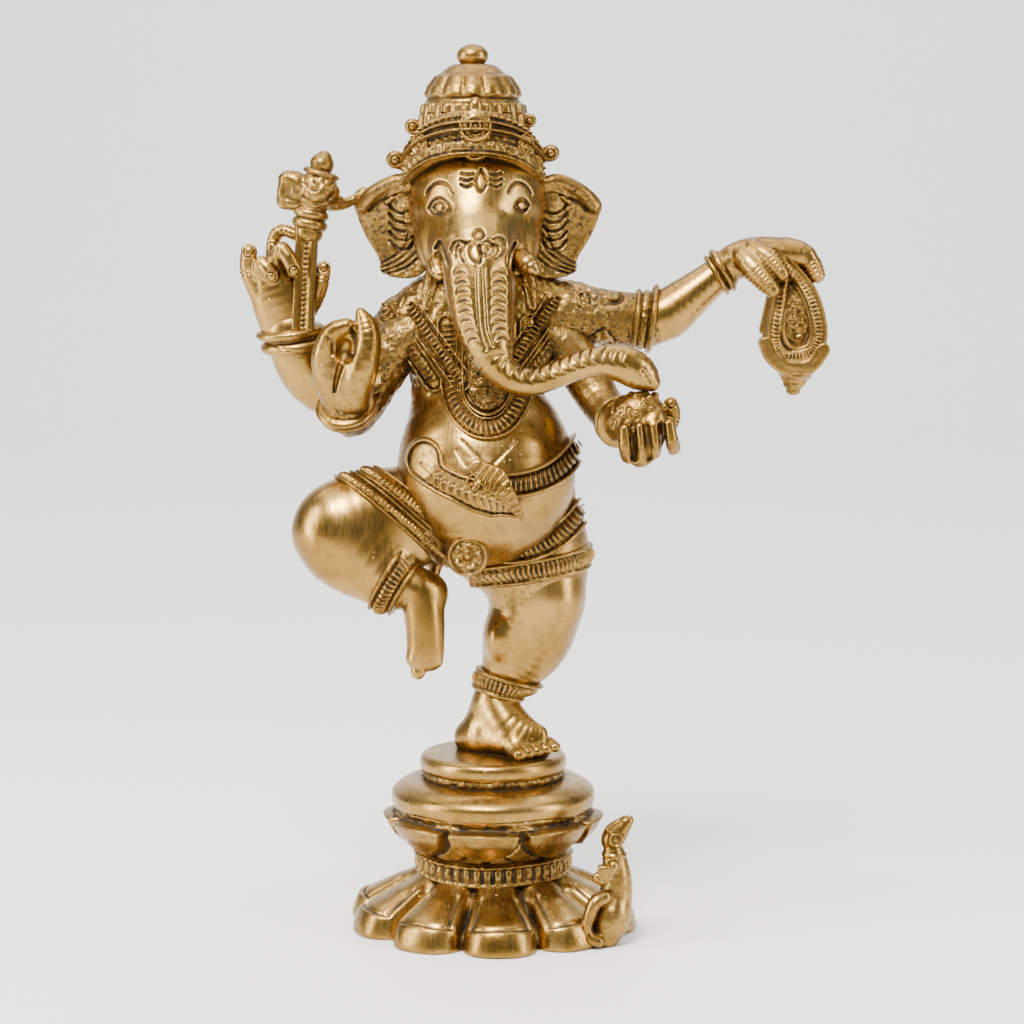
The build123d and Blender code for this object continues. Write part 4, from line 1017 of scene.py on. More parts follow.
def axe_handle(p):
    foot, top = np.array(HANDLE_FOOT), np.array(HANDLE_TOP)
    middle, half = tuple((foot + top) / 2), float(np.linalg.norm(top - foot) / 2)
    way = tuple(top - foot)
    bar = slab(p, middle, (2.75, 2.2, half), way, 0.5)
    across, _, along = local(p, middle, way)
    front = p[1] < middle[1] + 1
    channel = ridge(across, 1.5) * front
    beads = 0.5 + 0.5 * np.cos(2 * math.pi * along / 1.25)
    return bar + channel * 0.75 - 0.7 * ridge(across, 0.8) * beads * front


def axe_head(p):
    neck = limb(p, [(-45.2, -4.6, 174.0, 3.5, 3.2), (-44.2, -4.6, 181.0, 3.5, 3.2)])
    collar = hoop(p, neck, (-44.8, -4.6, 177.5), (0.2, 0, 1), [(-1.25, 2.5, 0.9), (1.2, 2.3, 0.9)])
    orb = ball(p, (-42.8, -4.4, 184.2), 5.2)
    orb = orb - 0.3 * noise(p, 1.3, 9)
    swirl = [[(-46.4, 183.0), (-44.0, 181.4), (-41.0, 181.6), (-38.8, 183.6)],
             [(-45.6, 186.2), (-44.4, 184.6),
             (-43.0, 184.4), (-42.4, 185.6), (-43.4, 186.6)],
             [(-41.2, 186.8), (-40.0, 185.4), (-39.0, 186.2)]]
    orb = engrave(p, orb, swirl, width=0.4, depth=0.45)
    block = slab(p, (-49.4, -4.4, 184.4), (3.3, 3.6, 4.7), (0.08, 0, 1), 2.2) - 0.35 * noise(p, 1.9, 4)
    dent = egg(p, (-50.4, -8.2, 184.6), (1.6, 0.7, 2.6))
    block = cut(block, dent, 0.5)
    band = hoop(p, ball(p, (-42.4, -4.2, 187.0), 4.0), (-42.6, -4.2, 188.8), (0.3, 0, 1), [(0, 1.5, 0.9)])
    knob = blend(egg(p, (-41.8, -4.2, 190.8), (3.0, 3.0, 2.6), (0.3, 0, 1)),
                 ball(p, (-41.2, -4.2, 192.4), 1.7), 0.8)
    head = blend(blend(orb, block, 0.7), neck, 0.5)
    return np.minimum(np.minimum(np.minimum(head, collar), blend(head, knob, 0.3)), band)


def axe_tie(p):
    return limb(p, [(-39.4, -3.6, 181.6, 2.4, 2.2), (-36.6, -2.6, 181.2, 1.4, 1.4),
                    (-34.0, -1.2, 182.2, 1.3, 1.4),
                    (-31.6, 0.2, 183.2, 2.2, 1.8)]) - 0.15 * noise(p, 1.1, 6)


def blessing_arm(p):
    return limb(p, BLESSING_ARM) - 0.25 * noise(p, 1.2, 21)


def blessing_bangle(p):
    body = blend(limb(p, BLESSING_ARM), limb(p, BLESSING_PALM), 1.0)
    return hoop(p, body, *BLESSING_BANGLE, [(-1.7, 2.0, 1.5), (0.6, 2.4, 1.8)])


def blessing_hand(p):
    """A raised palm: joined fingers lean to the right, a bent knuckle stands on the left, a hollow between."""
    palm = limb(p, BLESSING_PALM)
    fingers = limb(p, [(-34.0, -19.6, 135.0, 4.6, 4.4), (-31.4, -21.6, 142.0, 4.0, 4.4),
                       (-29.8, -22.2, 148.4, 3.2, 3.4),
                       (-30.4, -22.0, 152.4, 2.6, 2.4), (-31.6, -21.6, 155.2, 1.3, 1.3)])
    knuckle = limb(p, [(-40.4, -18.6, 138.6, 3.0, 3.2), (-40.8, -20.4, 145.0, 2.8, 3.0),
                       (-38.4, -22.2, 150.4, 2.5, 2.4),
                       (-35.0, -23.0, 152.2, 1.9, 1.9)])
    hand = blend(blend(palm, fingers, 1.2), knuckle, 1.2)
    hollow = egg(p, (-35.6, -24.6, 146.2), (2.3, 3.6, 3.4), (0.3, 0, 1))
    hand = cut(hand, hollow, 0.9)
    slit = limb(p, [(-36.2, -24.2, 143.6, 0.9, 1.5), (-37.4, -23.6, 139.6, 0.7, 1.2),
                    (-38.0, -22.6, 136.4, 0.4, 0.8)])
    hand = cut(hand, slit, 0.5)
    creases = [[(-33.8, 151.6), (-33.0, 149.0), (-33.2, 145.6)],
               [(-39.6, 149.6), (-38.4, 148.0), (-38.6, 145.4)]]
    return engrave(p, hand, creases, width=0.45, depth=0.5, front=-16)


def bowl_arm(p):
    return limb(p, BOWL_ARM)


def bowl_bangle(p):
    return hoop(p, limb(p, BOWL_ARM), *BOWL_BANGLE, [(-1.3, 1.5, 1.4), (0.8, 1.8, 1.7)])


SWEETS = 46  # in the heap


def sweet_bowl(p):
    heap = egg(p, (35.4, -25.6, 131.0), (6.6, 5.4, 5.6), (0.14, 0, 1))
    rng = np.random.default_rng(7)
    best = heap
    for i in range(SWEETS):
        angle, rise = rng.uniform(-math.pi, 0.1), rng.uniform(-0.75, 0.95)
        reach = math.sqrt(1 - rise * rise)
        at = (35.4 + 6.4 * reach * math.cos(angle) + 0.6 * rise, -25.6 + 5.2 * reach * math.sin(angle),
              131.0 + 5.4 * rise)
        size = rng.uniform(0.75, 1.1)
        bead = ball(p, at, size)
        if i % 3 == 0:
            bead = np.maximum(bead, -ball(p, (at[0], at[1] - size, at[2]), 0.35))
        best = blend(best, bead, 0.12)
    return best


def bowl_hand(p):
    palm = limb(p, [(34.0, -19.8, 127.4, 4.6, 4.6), (36.2, -24.4, 126.4, 7.6, 5.0),
                    (37.2, -28.4, 126.0, 7.8, 4.4)])
    for i in range(4):
        x = 32.0 + 3.5 * i
        finger = limb(p, [(x + 0.6, -28.6, 121.6 + 0.7 * i, 2.0, 2.2), (x, -31.4, 124.0 + 0.5 * i, 1.9, 1.8),
                          (x - 0.4, -31.4, 128.0 + 0.4 * i, 1.4, 1.4)], steps=2)
        palm = blend(palm, finger, 0.35)
    gaps = [[(x + 1.6, 121.0), (x + 1.3, 124.6), (x + 0.9, 128.6)] for x in (32.4, 35.8, 39.4)]
    palm = engrave(p, palm, gaps, width=0.9, depth=1.2, front=-27)
    thumb = digit(p, [(41.6, -24.6, 126.6), (43.4, -25.6, 130.4), (42.8, -26.2, 133.6)], 2.0, (0, -1, 0.2))
    return blend(palm, thumb, 0.6)


sculpt(noose_arm, (12, -9, 142), (41, 13, 166), grain=0.8, nodes=["noose_upper_arm"])
sculpt(noose_armlet, (32, -8, 142), (43, 14, 163), step=0.25, grain=0.55)
sculpt(noose_forearm, (36, -7, 143), (60, 13, 171), grain=0.0)
sculpt(noose_bangle, (50, -6, 156), (63, 12, 173), step=0.24, grain=0.3)
sculpt(noose_hand, (55, -11, 156), (84, 10, 175), step=0.24, grain=0.25)
sculpt(noose, (64, -8, 132), (85, 5, 173), step=0.22, grain=0.35)
sculpt(axe_arm, (-46, -5, 125), (-10, 13, 164), grain=0.9, nodes=["axe_upper_arm"])
sculpt(axe_forearm, (-58, -10, 126), (-30, 11, 155), grain=0.05)
sculpt(axe_bangles, (-60, -11, 141), (-40, 8, 155), step=0.25, grain=0.3)
sculpt(axe_hand, (-64, -14, 146), (-38, 4, 178), step=0.24, grain=0.15)
sculpt(axe_handle, (-51, -11, 149), (-41, 0, 178), step=0.22, grain=0.4)
sculpt(axe_head, (-54, -11, 172), (-35, 3, 195), step=0.24, grain=0.5)
sculpt(axe_tie, (-43, -7, 176), (-28, 4, 188), step=0.26, grain=0.5)
sculpt(blessing_arm, (-43, -23, 122), (-10, 6, 158), grain=0.95)
sculpt(blessing_bangle, (-45, -24, 122), (-27, -6, 140), step=0.25, grain=0.3)
sculpt(blessing_hand, (-44, -28, 127), (-26, -10, 158), step=0.24, grain=0.25)
sculpt(bowl_arm, (8, -25, 121), (39, 6, 157), grain=0.7)
sculpt(bowl_bangle, (24, -22, 120), (38, -9, 137), step=0.25, grain=0.3)
sculpt(bowl_hand, (27, -35, 118), (47, -14, 137), step=0.24, grain=0.3)
sculpt(sweet_bowl, (28, -32.5, 124), (43, -19, 138.5), step=0.22, grain=0.5)


# ---- head ---------------------------------------------------------------------------------------
MID = -3.6


def skull(p):
    """Forehead, temples and cheeks, without the trunk."""
    head = egg(p, (MID - 0.2, -3.4, 181.5), (17.2, 16.4, 15.5))
    head = blend(head, egg(p, (MID, -5.0, 172.0), (13.6, 12.0, 9.0)), 4.0)
    for side in (-1, 1):
        head = blend(head, egg(p, (MID + side * 8.8, -9.4, 171.4), (6.4, 7.6, 7.4)), 3.0)
        socket = egg(p, (MID + side * 6.0, -20.6, 177.4), (1.6, 2.4, 3.6), (0.35 * side, 0, 1))
        head = cut(head, socket, 3.0)
        eyeball = egg(p, (MID + side * 9.4, -13.2, 180.6), (3.4, 2.8, 2.6))
        head = blend(head, eyeball, 1.6)
    return head


TRUNK = [(-3.8, -13.0, 180.0, 9.6, 7.0), (-3.7, -18.6, 173.0, 9.6, 7.4), (-3.4, -22.8, 167.4, 8.8, 7.2),
         (-2.8, -25.6, 160.0, 8.3, 7.0), (-2.0, -27.2, 154.0, 7.4, 6.5), (-0.8, -28.4, 148.6, 6.0, 5.8),
         (1.0, -29.2, 143.6, 4.3, 5.0), (4.4, -29.4, 140.4, 3.8, 4.5), (9.0, -29.4, 139.2, 3.5, 4.2),
         (14.4, -29.0, 140.6, 3.3, 4.0), (20.0, -28.8, 142.8, 3.4, 4.0), (25.6, -28.4, 144.0, 3.8, 4.2),
         (31.0, -28.0, 143.4, 4.5, 4.4), (35.0, -27.6, 141.4, 4.3, 4.2), (38.0, -27.4, 139.0, 2.3, 2.8)]

RIGHT_EYE = [[(5.5, 180.4), (6.2, 181.8), (7.4, 182.5), (8.4, 181.6), (8.8, 180.6), (7.6, 179.4),
              (6.4, 179.5), (5.5, 180.4)]]
LEFT_EYE = [[(-15.3, 180.2), (-14.4, 181.8), (-12.7, 182.7), (-11.0, 181.8), (-10.2, 180.1), (-12.5, 178.7),
             (-14.4, 179.1),
             (-15.3, 180.2)]]
BROWS = [[(-15.8, 183.6), (-14.8, 185.4), (-12.8, 186.5), (-10.8, 185.9), (-9.5, 184.0)],
         [(3.9, 184.0), (4.8, 185.6), (6.3, 186.4), (8.1, 185.5), (9.3, 183.6)]]
TILAK = [[(-2.7, 189.6), (-3.8, 187.8), (-3.8, 186.0), (-2.7, 184.2), (-1.5, 186.0), (-1.5, 187.8),
          (-2.7, 189.6)]]
TILAK += [[(-7.4, 188.6), (-5.8, 188.3), (-4.5, 188.5)], [(-7.6, 187.2), (-6.0, 186.8), (-4.6, 187.3)],
          [(-7.5, 185.9), (-6.1, 185.3), (-4.7, 186.0)], [(2.2, 188.7), (0.8, 188.3), (-0.7, 188.5)],
          [(2.4, 187.3), (0.9, 186.8), (-0.7, 187.3)], [(2.3, 186.0), (1.0, 185.3), (-0.6, 186.0)]]


def circle(x, z, radius):
    steps = 8
    turns = [2 * math.pi * i / steps for i in range(steps + 1)]
    return [(x + radius * math.cos(a), z + radius * math.sin(a)) for a in turns]


FLOWER = [circle(-3.1, 174.0, 1.15), circle(-1.3, 170.8, 1.7),
          [(-3.6, 172.4), (-2.6, 170.0), (-3.0, 167.4), (-4.9, 168.6), (-5.4, 170.8), (-3.8, 172.4)],
          [(-9.8, 170.2), (-9.0, 172.2), (-7.4, 172.6), (-6.0, 172.0)],
          [(-8.6, 168.8), (-8.4, 171.0), (-7.0, 172.2)],
          [(-6.8, 167.8), (-7.6, 169.8), (-6.6, 171.8), (-5.0, 172.4)],
          [(0.2, 172.9), (1.6, 173.4), (2.9, 172.5), (3.0, 170.2), (1.0, 168.4)],
          [(0.2, 171.6), (1.3, 171.4), (1.4, 169.8), (0.4, 169.0)],
          [(-1.6, 171.8), (-0.6, 170.6), (-1.4, 169.6)]]
FOLDS = [[(-13.6, 170.6), (-12.4, 172.2), (-11.2, 170.0), (-10.2, 167.0)],
         [(-14.0, 167.4), (-13.2, 169.6), (-12.2, 168.2)],
         [(5.0, 165.6), (5.3, 168.7), (6.8, 171.2)], [(4.0, 166.4), (4.2, 169.4), (5.4, 171.8)]]


def face(p):
    """Head and trunk as one casting, with the lines that are cut into them."""
    body = blend(skull(p), limb(p, TRUNK), 4.0)
    for side in (-1, 1):
        fold = limb(p, [(MID + side * 7.6, -17.6, 174.0, 2.4, 2.4),
                        (MID + side * 9.2, -17.6, 169.4, 2.2, 2.4),
                        (MID + side * 9.0, -17.8, 165.4, 1.6, 1.8)])
        body = blend(body, fold, 1.6)
    body = engrave(p, body, TILAK, width=0.34, depth=0.7, front=-8)
    body = engrave(p, body, BROWS + RIGHT_EYE + LEFT_EYE, width=0.34, depth=0.7, front=-5)
    body = engrave(p, body, [circle(-12.8, 180.4, 1.25), circle(7.2, 180.8, 1.15)], width=0.32, depth=0.6,
                   front=-5)
    body = engrave(p, body, FLOWER, width=0.36, depth=0.7, front=-14)
    return engrave(p, body, FOLDS, width=0.5, depth=0.9, front=-8)


def crescent(p, body, centre, way, half, depth):
    """One curved cut across the trunk: shallow on the convex side, with a sharp step on the other."""
    dx, dz = way
    across = (p[0] - centre[0]) * -dz + (p[2] - centre[1]) * dx
    along = (p[0] - centre[0]) * dx + (p[2] - centre[1]) * dz
    bow = along + (across / half) ** 2 * half * 0.5
    fade = np.clip(1 - (across / half) ** 2, 0, 1)
    scoop = np.where(bow > 0, np.exp(-bow / 0.85), np.exp(-((bow / 0.28) ** 2))) * fade
    return body + depth * scoop * (p[1] < -20)


TRUNK_LINE = [(-2.6, 166.0), (-2.2, 160.0), (-1.9, 154.0), (-0.6, 148.6), (1.4, 144.4), (5.0, 141.4),
              (9.6, 140.4),
              (14.6, 141.6), (20.0, 143.6), (25.6, 145.0), (31.0, 144.2), (35.6, 141.6)]


def along_line(points, distance):
    pairs = list(zip(points, points[1:]))
    for (x0, z0), (x1, z1) in pairs:
        length = math.hypot(x1 - x0, z1 - z0)
        if distance <= length:
            f = distance / length
            return (x0 + (x1 - x0) * f, z0 + (z1 - z0) * f), ((x1 - x0) / length, (z1 - z0) / length)
        distance -= length
    return points[-1], ((x1 - x0) / length, (z1 - z0) / length)


def head(p):
    body = face(p)
    body = engrave(p, body, [[(-3.7, 166.4), (-3.4, 158.0), (-2.8, 151.2), (-1.4, 147.0)],
                             [(-2.0, 166.4), (-1.5, 158.0), (-1.1, 152.0), (0.2, 148.0)]], width=0.34,
                   depth=0.45, front=-20)
    for i in range(8):
        (x, z), way = along_line(TRUNK_LINE, 0.6 + 2.25 * i)
        for side in (-1, 1):
            offset = (4.6 - 0.16 * i) * side
            body = crescent(p, body, (x - 0.4 - way[1] * offset, z + way[0] * offset * 0.1),
                            (-way[0], -way[1]), 1.9, 0.75)
    for i in range(14):
        (x, z), way = along_line(TRUNK_LINE, 21.0 + 2.5 * i)
        lift = 0.4 + 0.05 * i
        body = crescent(p, body, (x - way[1] * lift, z + way[0] * lift), (-way[0], -way[1]), 2.3, 0.6)
    nostril = [(35.8, 141.8), (36.8, 140.6), (37.4, 139.4)]
    return engrave(p, body, [nostril], width=0.5, depth=0.5, front=-20)


def left_tusk(p):
    """The broken tusk, a short faceted stub in its socket."""
    stub = limb(p, [(5.4, -16.5, 168.4, 3.0, 3.0), (8.4, -20.2, 166.8, 2.7, 2.7),
                    (10.2, -21.8, 165.4, 1.3, 1.3)], steps=2)
    stub = both(stub, (p[0] - 8.6) * 0.5 - (p[1] + 21.8) * 0.6 + (p[2] - 167.6) * 0.62 - 1.6, 0.4)
    socket = hoop(p, limb(p, [(4.0, -15.0, 169.4, 3.2, 3.2), (8.0, -19.6, 167.0, 2.8, 2.8)]),
                  (5.6, -17.4, 168.4),
                  (0.6, -0.68, -0.42), [(0, 1.2, 0.8)])
    return np.minimum(stub, socket)


def right_tusk(p):
    return limb(p, [(-12.0, -15.5, 168.4, 2.4, 2.4), (-13.4, -19.4, 166.4, 2.2, 2.2),
                    (-12.6, -22.0, 164.4, 1.5, 1.5)], steps=2)


EAR = [(15.0, 186.8), (19.0, 188.2), (22.6, 187.2), (27.0, 184.8), (30.2, 181.6), (29.6, 177.4),
       (27.4, 172.4),
       (24.6, 167.8), (24.2, 164.6), (20.4, 163.0), (14.6, 163.4), (11.0, 168.4), (11.0, 178.0),
       (12.6, 184.0)]


def ear(side):
    """An ear that flares from the cheek, rolled at its rim, with curved folds cut into it."""

    def field(p):
        q = (MID + (p[0] - MID) * side, p[1], p[2])
        outline = [(MID + x, z) for x, z in EAR]
        edge, _ = inside(q, outline)
        x, z = q[0] - MID, q[2]
        level = -1.6 + 0.16 * (x - 20) + 0.8 * np.sin((z - 164) * 0.21)
        thick = 1.9 + 0.35 * noise(p, 1.3, 17) * ease(26.0 - x, 0, 6)
        leaf = both(edge, np.abs(p[1] - level) - thick, 1.0)
        roll_path = [(16.0, 186.0), (20.0, 186.6), (25.4, 184.0), (28.6, 180.4)]
        d = off_line(x, z, roll_path)
        roll = np.sqrt(d ** 2 + (p[1] - level + 1.6) ** 2) - 1.7
        leaf = blend(leaf, roll, 1.0)
        d = off_line(x, z, [(14.6, 182.6), (17.0, 184.8), (20.0, 184.4), (22.2, 181.6)])
        lip = np.sqrt(d ** 2 + (p[1] - level + 1.8) ** 2) - 1.0
        leaf = blend(leaf, lip, 0.5)
        cuts = []
        for i in range(5):
            z0 = 2.2 * i
            cuts.append(([(15.2 + 0.2 * i, 180.4 - z0), (17.6, 178.8 - z0), (20.2, 179.2 - z0),
                          (21.8, 181.0 - z0)],
                         0.8, 0.55))
        for i in range(4):
            cuts.append(([(12.2 + 1.5 * i, 174.0 + 0.4 * i), (13.4 + 1.7 * i, 169.6 + 0.2 * i),
                          (17.4 + 1.7 * i, 165.8 + 0.5 * i), (22.6 + 0.9 * i, 164.0 + 0.7 * i)], 0.65, 0.5))
        cuts.append(([(20.0, 183.4), (24.4, 181.6), (26.8, 179.4)], 0.6, 0.5))
        for arc, depth, width in cuts:
            leaf = leaf + depth * ridge(off_line(x, z, arc), width) * (p[1] < level + 1)
        return leaf

    return field


# ---- crown --------------------------------------------------------------------------------------
CROWN = (-4.7, -3.0)


def crown_band(p):
    """Brow band: rows of beads and mouldings that dip to the temples and rise over the forehead."""
    x, y, z = p[0] - CROWN[0], p[1] - CROWN[1], p[2]
    turn = np.arctan2(y, x)
    front = np.clip(-np.sin(turn), 0, 1)
    dip = 9.5 * (1 - front) ** 1.15 * (np.sin(turn) < 0.2) + 9.5 * (np.sin(turn) >= 0.2)
    dip = np.minimum(dip, 7.5)
    level = z - (193.0 - dip)
    round_ = np.sqrt((x / 17.2) ** 2 + (y / 16.6) ** 2)
    profile = np.interp(level, [-2, 0, 3, 7, 11, 15], [16.2, 17.0, 16.8, 16.4, 15.4, 14.6]) / 17.2
    body = (round_ - profile) * 16.0
    heights = 1.0 * ridge(level - 0.4, 0.6)
    heights = heights + (0.6 + 0.6 * noise(p, 1.1, 41)) * ease(level, 0.9, 1.4) * ease(3.7 - level, 0, 0.5)
    heights = heights + 1.3 * ridge(level - 4.3, 0.9) * (0.5 + 0.5 * np.cos(50 * turn + level))
    heights = heights + 1.8 * ridge(level - 6.1, 1.0) + 1.5 * ridge(level - 7.9, 0.8)
    heights = heights + 1.3 * ridge(level - 9.4, 0.8) * (0.6 + 0.4 * np.cos(58 * turn))
    heights = heights + 0.2 * noise(p, 1.0, 42)
    band = both(body - heights, np.abs(level - 5.0) - 5.6, 0.5)
    return both(band, -(body + 4.0), 0.3)


SIDE_BOSSES = [(12.4, -13.6, 195.4, 2.9), (14.8, -9.8, 190.6, 2.6), (16.2, -6.4, 186.0, 2.2),
               (16.0, -5.0, 181.6, 1.9),
               (15.6, -4.2, 177.8, 1.6), (15.0, -3.6, 174.6, 1.3)]


def crown_side(side):
    """Rosettes and hanging beads on the band over each temple."""

    def field(p):
        best = np.full(p[0].shape, FAR, np.float32)
        for x, y, z, r in SIDE_BOSSES:
            at = (CROWN[0] + side * x, y, z)
            best = np.minimum(best, boss(p, at, (side * 0.72, -0.7, 0.05), r, 1.4))
        return best

    return field


def crown_dome(p):
    """Tiered dome with upright flutes, the tiers parted by grooves."""
    x, y, z = p[0] - CROWN[0] + 0.1, p[1] - CROWN[1] + 0.2, p[2]
    turn = np.arctan2(y, x)
    radius = np.interp(z, [190, 198.0, 202.0, 205.4, 206.1, 206.8, 209.6, 211.8, 213.0, 213.8, 214.6, 215.6],
                       [13.2, 13.0, 12.6, 12.0, 11.6, 11.6, 10.6, 9.0, 7.8, 6.9, 5.8, 4.0])
    body = (np.sqrt(x ** 2 + y ** 2) - radius) * 0.92
    lower = ease(z, 198.4, 199.4) * ease(205.8 - z, 0, 0.8)
    upper = ease(z, 206.8, 207.8) * ease(212.8 - z, 0, 0.8)
    flutes = lower * (0.55 * np.abs(np.cos(15 * turn)) + 0.35 * np.abs(np.cos(7.5 * turn)))
    flutes = flutes + upper * 0.75 * np.abs(np.cos(6.5 * turn + 0.6)) ** 0.6
    body = body - flutes
    body = body - 0.7 * ridge(z - 199.0, 0.6) * (0.6 + 0.4 * np.cos(56 * turn)) - 0.6 * ridge(z - 197.4, 0.6)
    body = body + 0.5 * ridge(z - 206.6, 0.35) + 0.5 * ridge(z - 203.0, 0.22) * (np.cos(15 * turn) > -0.2)
    top = p[2] - 215.0
    crest = limb(p, [(CROWN[0] + 0.4, -15.4, 199.5, 3.6, 1.6), (CROWN[0] + 0.4, -14.4, 203.0, 2.4, 1.4),
                     (CROWN[0] + 0.3, -13.2, 206.4, 1.0, 1.2)]) - 0.25 * noise(p, 1.0, 8)
    body = blend(both(body, top, 0.5), crest, 0.6)
    return both(body, 195.0 - p[2], 0.2)


def crown_finial(p):
    stem = limb(p, [(CROWN[0] - 0.1, -2.6, 211.0, 3.9, 3.9), (CROWN[0] - 0.1, -2.6, 215.0, 2.6, 2.6)])
    knob = egg(p, (CROWN[0] - 0.2, -2.5, 217.1), (3.9, 3.9, 2.85))
    ring = hoop(p, stem, (CROWN[0] - 0.1, -2.6, 213.9), (0, 0, 1), [(0, 1.3, 1.0)])
    return np.minimum(blend(stem, knob, 0.5), ring)


def crown_medallion(p):
    base = egg(p, (-4.0, -17.0, 199.6), (4.4, 3.0, 4.4))
    disc = boss(p, (-4.0, -18.2, 199.6), (0, -1, 0.28), 4.2, 2.0)
    lower = boss(p, (-4.0, -18.0, 194.8), (0, -1, 0.1), 3.4, 1.4)
    lower = both(lower, p[2] - 196.2, 0.3)
    tip = egg(p, (-4.0, -16.8, 204.4), (1.8, 1.8, 2.4))
    whole = np.minimum(blend(blend(base, disc, 0.3), tip, 0.5), lower)
    return engrave(p, whole, [circle(-4.0, 199.8, 1.7), circle(-4.0, 199.8, 0.7)], width=0.34, depth=0.6,
                   front=-15)


BUDS = {"crown_bud_right_high": (-19.4, -5.0, 199.8, 1.8), "crown_bud_right_low": (-23.8, -3.4, 191.8, 2.0),
        "crown_bud_left_high": (9.0, -5.0, 201.2, 1.5), "crown_bud_left_low": (14.2, -3.4, 193.4, 1.9)}


def bud(x, y, z, radius):
    side = 1 if x > MID else -1

    def field(p):
        body = limb(p, [(x - side * 6.0, y + 1.0, z - 1.6, radius * 1.2, radius * 1.2),
                        (x, y, z, radius, radius)])
        curl = ball(p, (x + side * 0.2, y - 0.4, z + 0.2), radius * 1.05)
        body = blend(body, curl, 0.6)
        ring = np.sqrt((p[0] - x) ** 2 + (p[2] - z) ** 2) - radius * 0.55
        return body + 0.5 * ridge(ring, 0.3) * (p[1] < y)

    return field


sculpt(head, (-26, -36, 134), (42, 16, 200), step=0.27, grain=0.0, nodes=["head", "trunk"])
sculpt(left_tusk, (1, -26, 161), (14, -12, 174), step=0.2, grain=0.05)
sculpt(right_tusk, (-18, -26, 160), (-9, -12, 172), step=0.22, grain=0.1)
for side, hand in ((1, "left"), (-1, "right")):
    low_x, high_x = sorted((MID + side * 9.0, MID + side * 33.0))
    sculpt(ear(side), (low_x, -8, 160), (high_x, 6, 191), step=0.25, grain=0.75, name=f"{hand}_ear")
    low_x, high_x = sorted((CROWN[0] + side * 7.5, CROWN[0] + side * 21.0))
    sculpt(crown_side(side), (low_x, -19, 171), (high_x, 2, 200), step=0.24, grain=0.6, nodes=[],
           name=f"crown_side_{hand}")
sculpt(crown_band, (-25, -24, 183), (16, 18, 204), step=0.25, grain=0.6)
sculpt(crown_dome, (-23, -21, 194), (14, 16, 216.0), step=0.25, grain=0.4)
sculpt(crown_finial, (-9.8, -7.5, 210), (0.5, 2.5, 221), step=0.2, grain=0.3)
sculpt(crown_medallion, (-9.5, -23, 190), (1.5, -12, 208), step=0.2, grain=0.3)
for name, (x, y, z, radius) in BUDS.items():
    sculpt(bud(x, y, z, radius), (x - 8, y - 4, z - 5), (x + 8, y + 5, z + 4.5), step=0.22, grain=0.4,
           name=name)


# ---- how deep each place lies among all sections, for the painted shade where they crowd --------
CELL = 0.7  # spacing of the grid that holds the whole statue
whole_low = np.array([-66.0, -42.0, -2.0])
whole_size = np.ceil((np.array([86.0, 42.0, 224.0]) - whole_low) / CELL).astype(int)
whole = np.zeros(tuple(whole_size), bool)
for part in sections:
    span = np.array(part["solid"].shape) * part["step"]
    first = np.maximum(np.ceil((part["corner"] - whole_low) / CELL).astype(int), 0)
    last = np.minimum(np.floor((part["corner"] + span - whole_low) / CELL).astype(int), whole_size)
    lines = [
        np.clip(np.rint((whole_low[i] + np.arange(first[i], last[i]) * CELL - part["corner"][i]) / part["step"])
                .astype(int), 0, part["solid"].shape[i] - 1)
        for i in range(3)
    ]
    whole[first[0] : last[0], first[1] : last[1], first[2] : last[2]] |= part["solid"][np.ix_(*lines)]
# painted shade: how much solid lies close by and all around each place, used to darken the brass in crowded
# places
painted_shade_near_grid = box_blur(whole.astype(np.float32), 2)
painted_shade_wide_grid = box_blur(whole.astype(np.float32), 6)


def add_floats(mesh, name, values):
    attribute = mesh.attributes.new(name, "FLOAT", "POINT")
    attribute.data.foreach_set("value", np.asarray(values, np.float32))


def build_mesh(part, material):
    """Makes a section's mesh in the row's frame, with what its finish and its painted shade depend on at each
    vertex.
    """
    places = part["vertices"]
    offset = np.array([AXIS_X, AXIS_Y, 0.0])
    mesh = bpy.data.meshes.new(part["name"])
    mesh.from_pydata(((places + offset) * MM).astype(np.float32), [], part["quads"])
    mesh.polygons.foreach_set("use_smooth", np.ones(len(mesh.polygons), bool))
    steps = (places - whole_low) / CELL
    add_floats(mesh, "cavity", part["cavity"])
    # painted shade: how crowded by solid each vertex is, close by (nook) and all around (depth)
    add_floats(mesh, "painted_nook_shade", read_grid(painted_shade_near_grid, steps))
    add_floats(mesh, "depth", read_grid(painted_shade_wide_grid, steps))
    add_floats(mesh, "grain", np.full(len(places), part["grain"]))
    mesh.materials.append(material)
    mesh.update()
    piece = bpy.data.objects.new(part["name"], mesh)
    bpy.context.scene.collection.objects.link(piece)
    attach(piece, "root")
    if part["nodes"]:
        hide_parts(*part["nodes"])
    return piece


# ---- antique brass ------------------------------------------------------------------------------
DULL_BRASS = (0.265, 0.145, 0.030, 1)
BRIGHT_BRASS = (0.40, 0.238, 0.064, 1)
# tarnish colour, also used as painted shade where the statue is deep all around
TARNISH_AND_PAINTED_SHADE = (0.105, 0.054, 0.013, 1)
# patina colour for hollows, also used as painted shade in nooks and deep places
PATINA_AND_PAINTED_SHADE = (0.010, 0.0065, 0.0035, 1)
RELIEF = 0.35 * MM  # height of the finest unevenness


